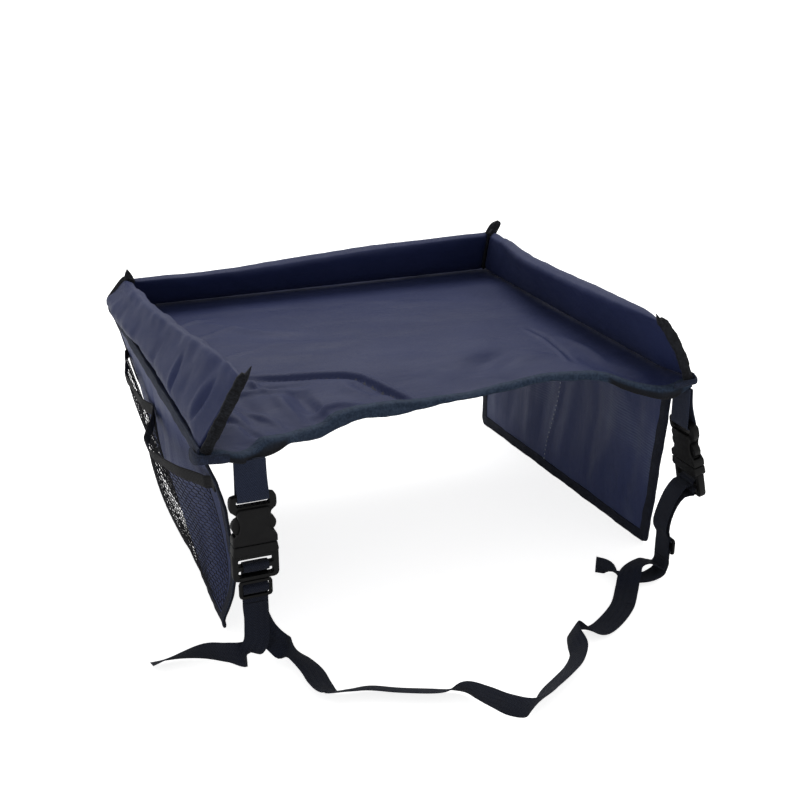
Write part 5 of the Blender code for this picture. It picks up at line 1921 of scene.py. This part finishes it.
def rounded_cutter(half: float, top: float, height: float, corner: float) -> Item:
    """A slot-shaped cutter through a moulding, its upper side at a distance below zero."""
    outline = []
    middle = -top - height / 2
    for sign_x, sign_z, start in ((1, 1, 0), (-1, 1, 90), (-1, -1, 180), (1, -1, 270)):
        for step in range(4):
            angle = math.radians(start + 30 * step)
            outline.append((
                sign_x * (half - corner) + corner * math.cos(angle),
                middle + sign_z * (height / 2 - corner) + corner * math.sin(angle),
            ))
    return shaped_plate(outline, 0.03, 0.0)


@dataclass
class FreeBelt:
    """The webbing that lies on the floor between the glides, and its two free tails."""

    left: StrapChain
    right: StrapChain
    finishes: Finishes
    steps: int = 6
    route: Sequence[Sequence[float]] = (
        (-0.1635, -0.1822, -0.134, 1.0, 0.1, 0.0), (-0.1585, -0.1822, -0.147, 0.95, -0.1, -0.15),
        (-0.15, -0.184, -0.158, 0.88, -0.25, -0.4), (-0.142, -0.188, -0.166, 0.88, -0.1, -0.45),
        (-0.1355, -0.1975, -0.169, 0.93, 0.1, -0.35), (-0.1315, -0.212, -0.1705, 0.95, 0.1, -0.25),
        (-0.131, -0.229, -0.1705, 0.93, 0.15, -0.3), (-0.1285, -0.243, -0.1695, 0.75, 0.5, -0.45),
        (-0.115, -0.248, -0.1685, 0.25, 0.8, -0.5), (-0.1, -0.251, -0.1685, 0.3, 0.85, -0.43),
        (-0.081, -0.26, -0.1695, 0.33, 0.85, -0.43), (-0.0565, -0.271, -0.1695, 0.33, 0.83, -0.45),
        (-0.045, -0.275, -0.1685, 0.3, 0.7, -0.65), (-0.036, -0.283, -0.1655, 0.2, 0.35, -0.9),
        (-0.027, -0.297, -0.1652, 0.1, 0.15, -1.0), (-0.019, -0.31, -0.1652, 0.0, 0.1, -1.0),
        (-0.007, -0.318, -0.1655, -0.1, 0.25, -0.95), (0.006, -0.311, -0.167, -0.3, 0.55, -0.75),
        (0.02, -0.299, -0.1685, -0.42, 0.68, -0.6), (0.037, -0.288, -0.169, -0.44, 0.69, -0.57),
        (0.051, -0.2785, -0.1685, -0.5, 0.6, -0.6), (0.062, -0.266, -0.167, -0.6, 0.35, -0.75),
        (0.066, -0.252, -0.1658, -0.45, 0.1, -0.9), (0.071, -0.2415, -0.1655, -0.3, 0.3, -0.9),
        (0.08, -0.24, -0.168, -0.1, 0.8, -0.6), (0.093, -0.241, -0.172, 0.1, 0.98, -0.15),
        (0.11, -0.232, -0.1735, -0.35, 0.93, 0.0), (0.132, -0.215, -0.1735, -0.6, 0.8, 0.0),
        (0.148, -0.196, -0.1716, -0.85, 0.5, 0.0), (0.156, -0.1865, -0.1662, -0.75, 0.6, -0.05),
        (0.164, -0.181, -0.1605, -0.3, 0.9, -0.3), (0.174, -0.18, -0.1585, 0.0, 0.97, -0.22),
        (0.1822, -0.1804, -0.1618, 0.0, 0.99, -0.1), (0.1874, -0.181, -0.164, 0.0, 1.0, 0.0),
    )
    left_tail: Sequence[Sequence[float]] = (
        (-0.165, -0.1858, -0.139, 1.0, 0.0, 0.0), (-0.1665, -0.1862, -0.153, 0.95, -0.2, 0.15),
        (-0.1735, -0.182, -0.164, 0.7, -0.3, 0.65), (-0.185, -0.1725, -0.1658, 0.2, -0.3, 0.93),
        (-0.2, -0.164, -0.166, 0.1, -0.4, 0.9), (-0.219, -0.16, -0.168, 0.05, -0.7, 0.7),
        (-0.24, -0.16, -0.17, 0.0, -0.9, 0.42),
    )
    right_tail: Sequence[Sequence[float]] = (
        (0.1886, -0.1816, -0.1688, 0.1, 0.97, -0.06), (0.177, -0.184, -0.1716, 0.15, 0.95, -0.08),
        (0.166, -0.18, -0.1726, 0.4, 0.9, -0.05), (0.1565, -0.1725, -0.1722, 0.45, 0.85, -0.1),
        (0.148, -0.166, -0.1665, 0.2, 0.4, -0.9), (0.14, -0.159, -0.1655, 0.1, 0.3, -0.95),
    )

    def line(
        self,
        route: Sequence[Sequence[float]],
        start: StrapChain,
        depth: float,
        finish: StrapChain | None = None,
    ) -> tuple[list[Vector], list[Vector]]:
        """Smooth a route and its width directions from one glide to another or to a free end."""
        centres = [Vector(row[:3]) for row in route]
        widths = [Vector(row[3:]).normalized() for row in route]
        across = start.glide_frame.to_3x3() @ Vector((1, 0, 0))
        centres = start.lead_points(depth) + centres
        widths = [across, across, *widths]
        if finish:
            across = finish.glide_frame.to_3x3() @ Vector((1, 0, 0))
            outer = finish.sizes.glide_depth + finish.sizes.layer_pitch
            centres += list(reversed(finish.lead_points(outer)))
            widths += [across, across]
        return catmull_rom(centres, self.steps), catmull_rom(widths, self.steps)

    def strap(self, name: str, centres: list[Vector], widths: list[Vector], nodes: Sequence[str]) -> Item:
        """Make one stretch of webbing, not yet riding on anything."""
        sizes = self.left.sizes
        item = band(centres, widths, sizes.belt_width, sizes.belt_thickness, 6, 0.0003)
        return finish_piece(item, name, self.finishes.webbing, "", nodes, 60)

    def declare(self, item: Item, path: list[Vector]) -> None:
        """Log how long a stretch of webbing is."""
        length = sum((after - before).length for before, after in zip(path[:-1], path[1:]))
        LOG.info("%s is %.3f m of webbing", item.name, length)

    def build(self) -> None:
        """Make the belt, its two end pieces and the tails."""
        sizes = self.left.sizes
        outer = sizes.glide_depth + sizes.layer_pitch
        centres, widths = self.line(self.route, self.left, outer, self.right)
        first, last = self.steps * 9, len(centres) - self.steps * 8
        left_end = self.strap("left_belt_end", centres[:first + 1], widths[:first + 1], [])
        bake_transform(left_end)
        right_end = self.strap("right_belt_end", centres[last:], widths[last:], [])
        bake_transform(right_end)
        middle = self.strap("floor_belt", centres[first:last + 1], widths[first:last + 1], ["belt_webbing"])
        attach(middle, "belt")
        self.declare(middle, centres[first:last + 1])
        for side, chain, route in (("left", self.left, self.left_tail), ("right", self.right, self.right_tail)):
            centres, widths = self.line(route, chain, sizes.glide_depth)
            tail = self.strap(f"{side}_free_tail", centres, widths, [f"{side}_belt_tail"])
            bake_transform(tail)
            self.declare(tail, centres)


# ---- stage


@dataclass
class Studio:
    """Plain pale floor, soft light from above and the camera of the photograph."""

    floor_height: float = -0.1762
    floor_glow: float = 0.8
    room_light: float = 0.535
    azimuth: float = math.radians(-21.95)
    elevation: float = math.radians(21.34)
    lens: float = 53.57
    sensor: float = 36.0
    shift_right: float = 0.022
    shift_up: float = -0.053
    distance: float = 1.044
    height: float = 0.005

    def build(self) -> None:
        """Make the floor, the lights, the world and the camera."""
        self.build_camera()
        self.build_floor()
        self.build_lights()
        self.build_world()

    def build_camera(self) -> None:
        """Stand the camera where the photograph was taken."""
        right = Vector((math.cos(self.azimuth), math.sin(self.azimuth), 0.0))
        back = Vector((
            math.sin(self.azimuth) * math.cos(self.elevation),
            -math.cos(self.azimuth) * math.cos(self.elevation),
            math.sin(self.elevation),
        ))
        up = back.cross(right)
        place = right * self.shift_right + up * self.shift_up + back * self.distance + Vector((0, 0, self.height))
        deselect()
        bpy.ops.object.camera_add()
        camera = bpy.context.object
        camera.name = "photo_camera"
        camera.matrix_world = Matrix((
            (right.x, up.x, back.x, place.x), (right.y, up.y, back.y, place.y), (right.z, up.z, back.z, place.z),
            (0, 0, 0, 1),
        ))
        camera.data.lens = self.lens
        camera.data.sensor_width = self.sensor
        camera.data.sensor_fit = "HORIZONTAL"
        camera.data.clip_start = 0.01
        bpy.context.scene.camera = camera

    def build_floor(self) -> None:
        """Lay the white floor, which keeps the object's shadow."""
        deselect()
        bpy.ops.mesh.primitive_plane_add(size=30.0, location=(0.0, 0.0, self.floor_height))
        floor = bpy.context.object
        floor.name = "floor"
        paint = Paint("white_floor")
        base = paint.blend(paint.noise(paint.place(), 3.0, 2.0), (0.9, 0.9, 0.9), (0.91, 0.91, 0.91))
        glow = paint.node("ShaderNodeLightPath", output="Is Camera Ray") * self.floor_glow
        floor.data.materials.append(paint.done(
            Base_Color=base, Roughness=0.95, Specular_IOR_Level=0.1, Emission_Color=(1.0, 1.0, 1.0),
            Emission_Strength=glow,
        ))

    def build_lights(self) -> None:
        """Hang one broad soft box overhead and a weaker one in front on the left."""
        for name, place, aim, size, power in (
            ("overhead_softbox", (0.26, 0.8, 1.42), (0.02, 0.0, 0.0), 0.9, 13.3),
            ("side_softbox", (-1.6, -0.9, -0.03), (0.2, 0.0, -0.09), 0.26, 2.2),
        ):
            deselect()
            bpy.ops.object.light_add(type="AREA", location=place)
            lamp = bpy.context.object
            lamp.name = name
            lamp.data.shape = "SQUARE"
            lamp.data.size = size
            lamp.data.energy = power
            way = Vector(place) - Vector(aim)
            lamp.rotation_euler = way.to_track_quat("Z", "Y").to_euler()

    def build_world(self) -> None:
        """Surround the object with white that lights it evenly."""
        world = bpy.data.worlds.new("white_room")
        bpy.context.scene.world = world
        world.use_nodes = True
        tree = world.node_tree
        shade = tree.nodes["Background"]
        shade.inputs["Color"].default_value = (1.0, 1.0, 1.0, 1.0)
        path = tree.nodes.new("ShaderNodeLightPath")
        strength = tree.nodes.new("ShaderNodeMapRange")
        strength.inputs["To Min"].default_value = self.room_light
        tree.links.new(path.outputs["Is Camera Ray"], strength.inputs["Value"])
        tree.links.new(strength.outputs[0], shade.inputs["Strength"])


# ---- the whole table


def main() -> None:
    """Build every sub-assembly in order and report each piece."""
    logging.basicConfig(level=logging.INFO, format="%(message)s")
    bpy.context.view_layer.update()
    bpy.context.scene.view_settings.view_transform = "Standard"
    finishes = Finishes()
    Studio().build()
    tilt = math.radians(12.6)  # the right buckle's lean against the tray's side
    quarter = math.pi / 2
    sizes = StrapSizes()
    left_place = Vector((-0.1645, -0.188, -0.0305))
    left = StrapChain(
        Side.LEFT, left_place, (0.0, 0.0, 0.0),
        left_place + Vector((0.0, sizes.bar_depth - sizes.glide_depth, -0.077)),
        (0.0, 0.0, 0.0), Vector((-0.1645, -0.1862, -0.005)), ("inner", "outer"),
    )
    right = StrapChain(
        Side.RIGHT, Vector((0.2, -0.181, -0.0325)), (-tilt, 0.0, quarter), Vector((0.1935, -0.181, -0.1435)),
        (0.0, 0.0, quarter), Vector((0.1969, -0.181, -0.0022)), ("rear", "front"),
        near_sag=(
            (0.1893, -0.181, -0.129), (0.1905, -0.181, -0.118), (0.195, -0.181, -0.1065), (0.202, -0.181, -0.099),
        ),
        far_sag=(
            (0.202, -0.181, -0.09), (0.1945, -0.181, -0.099), (0.1893, -0.181, -0.111),
            (0.1858, -0.181, -0.1235), (0.1868, -0.181, -0.131),
        ),
    )
    FreeBelt(left, right, finishes).build()
    left.build(finishes)
    right.build(finishes)
    TrayPanel().build(finishes)
    dress_node("base_board", finishes.board)
    PaddedRim().build(finishes)
    inward_curl = ((0.0, 0.0), (0.08, 0.006), (0.25, 0.013), (0.5, 0.017), (0.75, 0.017), (0.9, 0.012), (1.0, 0.005))
    SideFlap(Side.LEFT, -0.016, -0.046, 0.0185, 0.009, curl=inward_curl).build(finishes)
    SideFlap(Side.RIGHT, 0.014, 0.002, 0.019, 0.015).build(finishes)


if __name__ == "__main__":
    main()
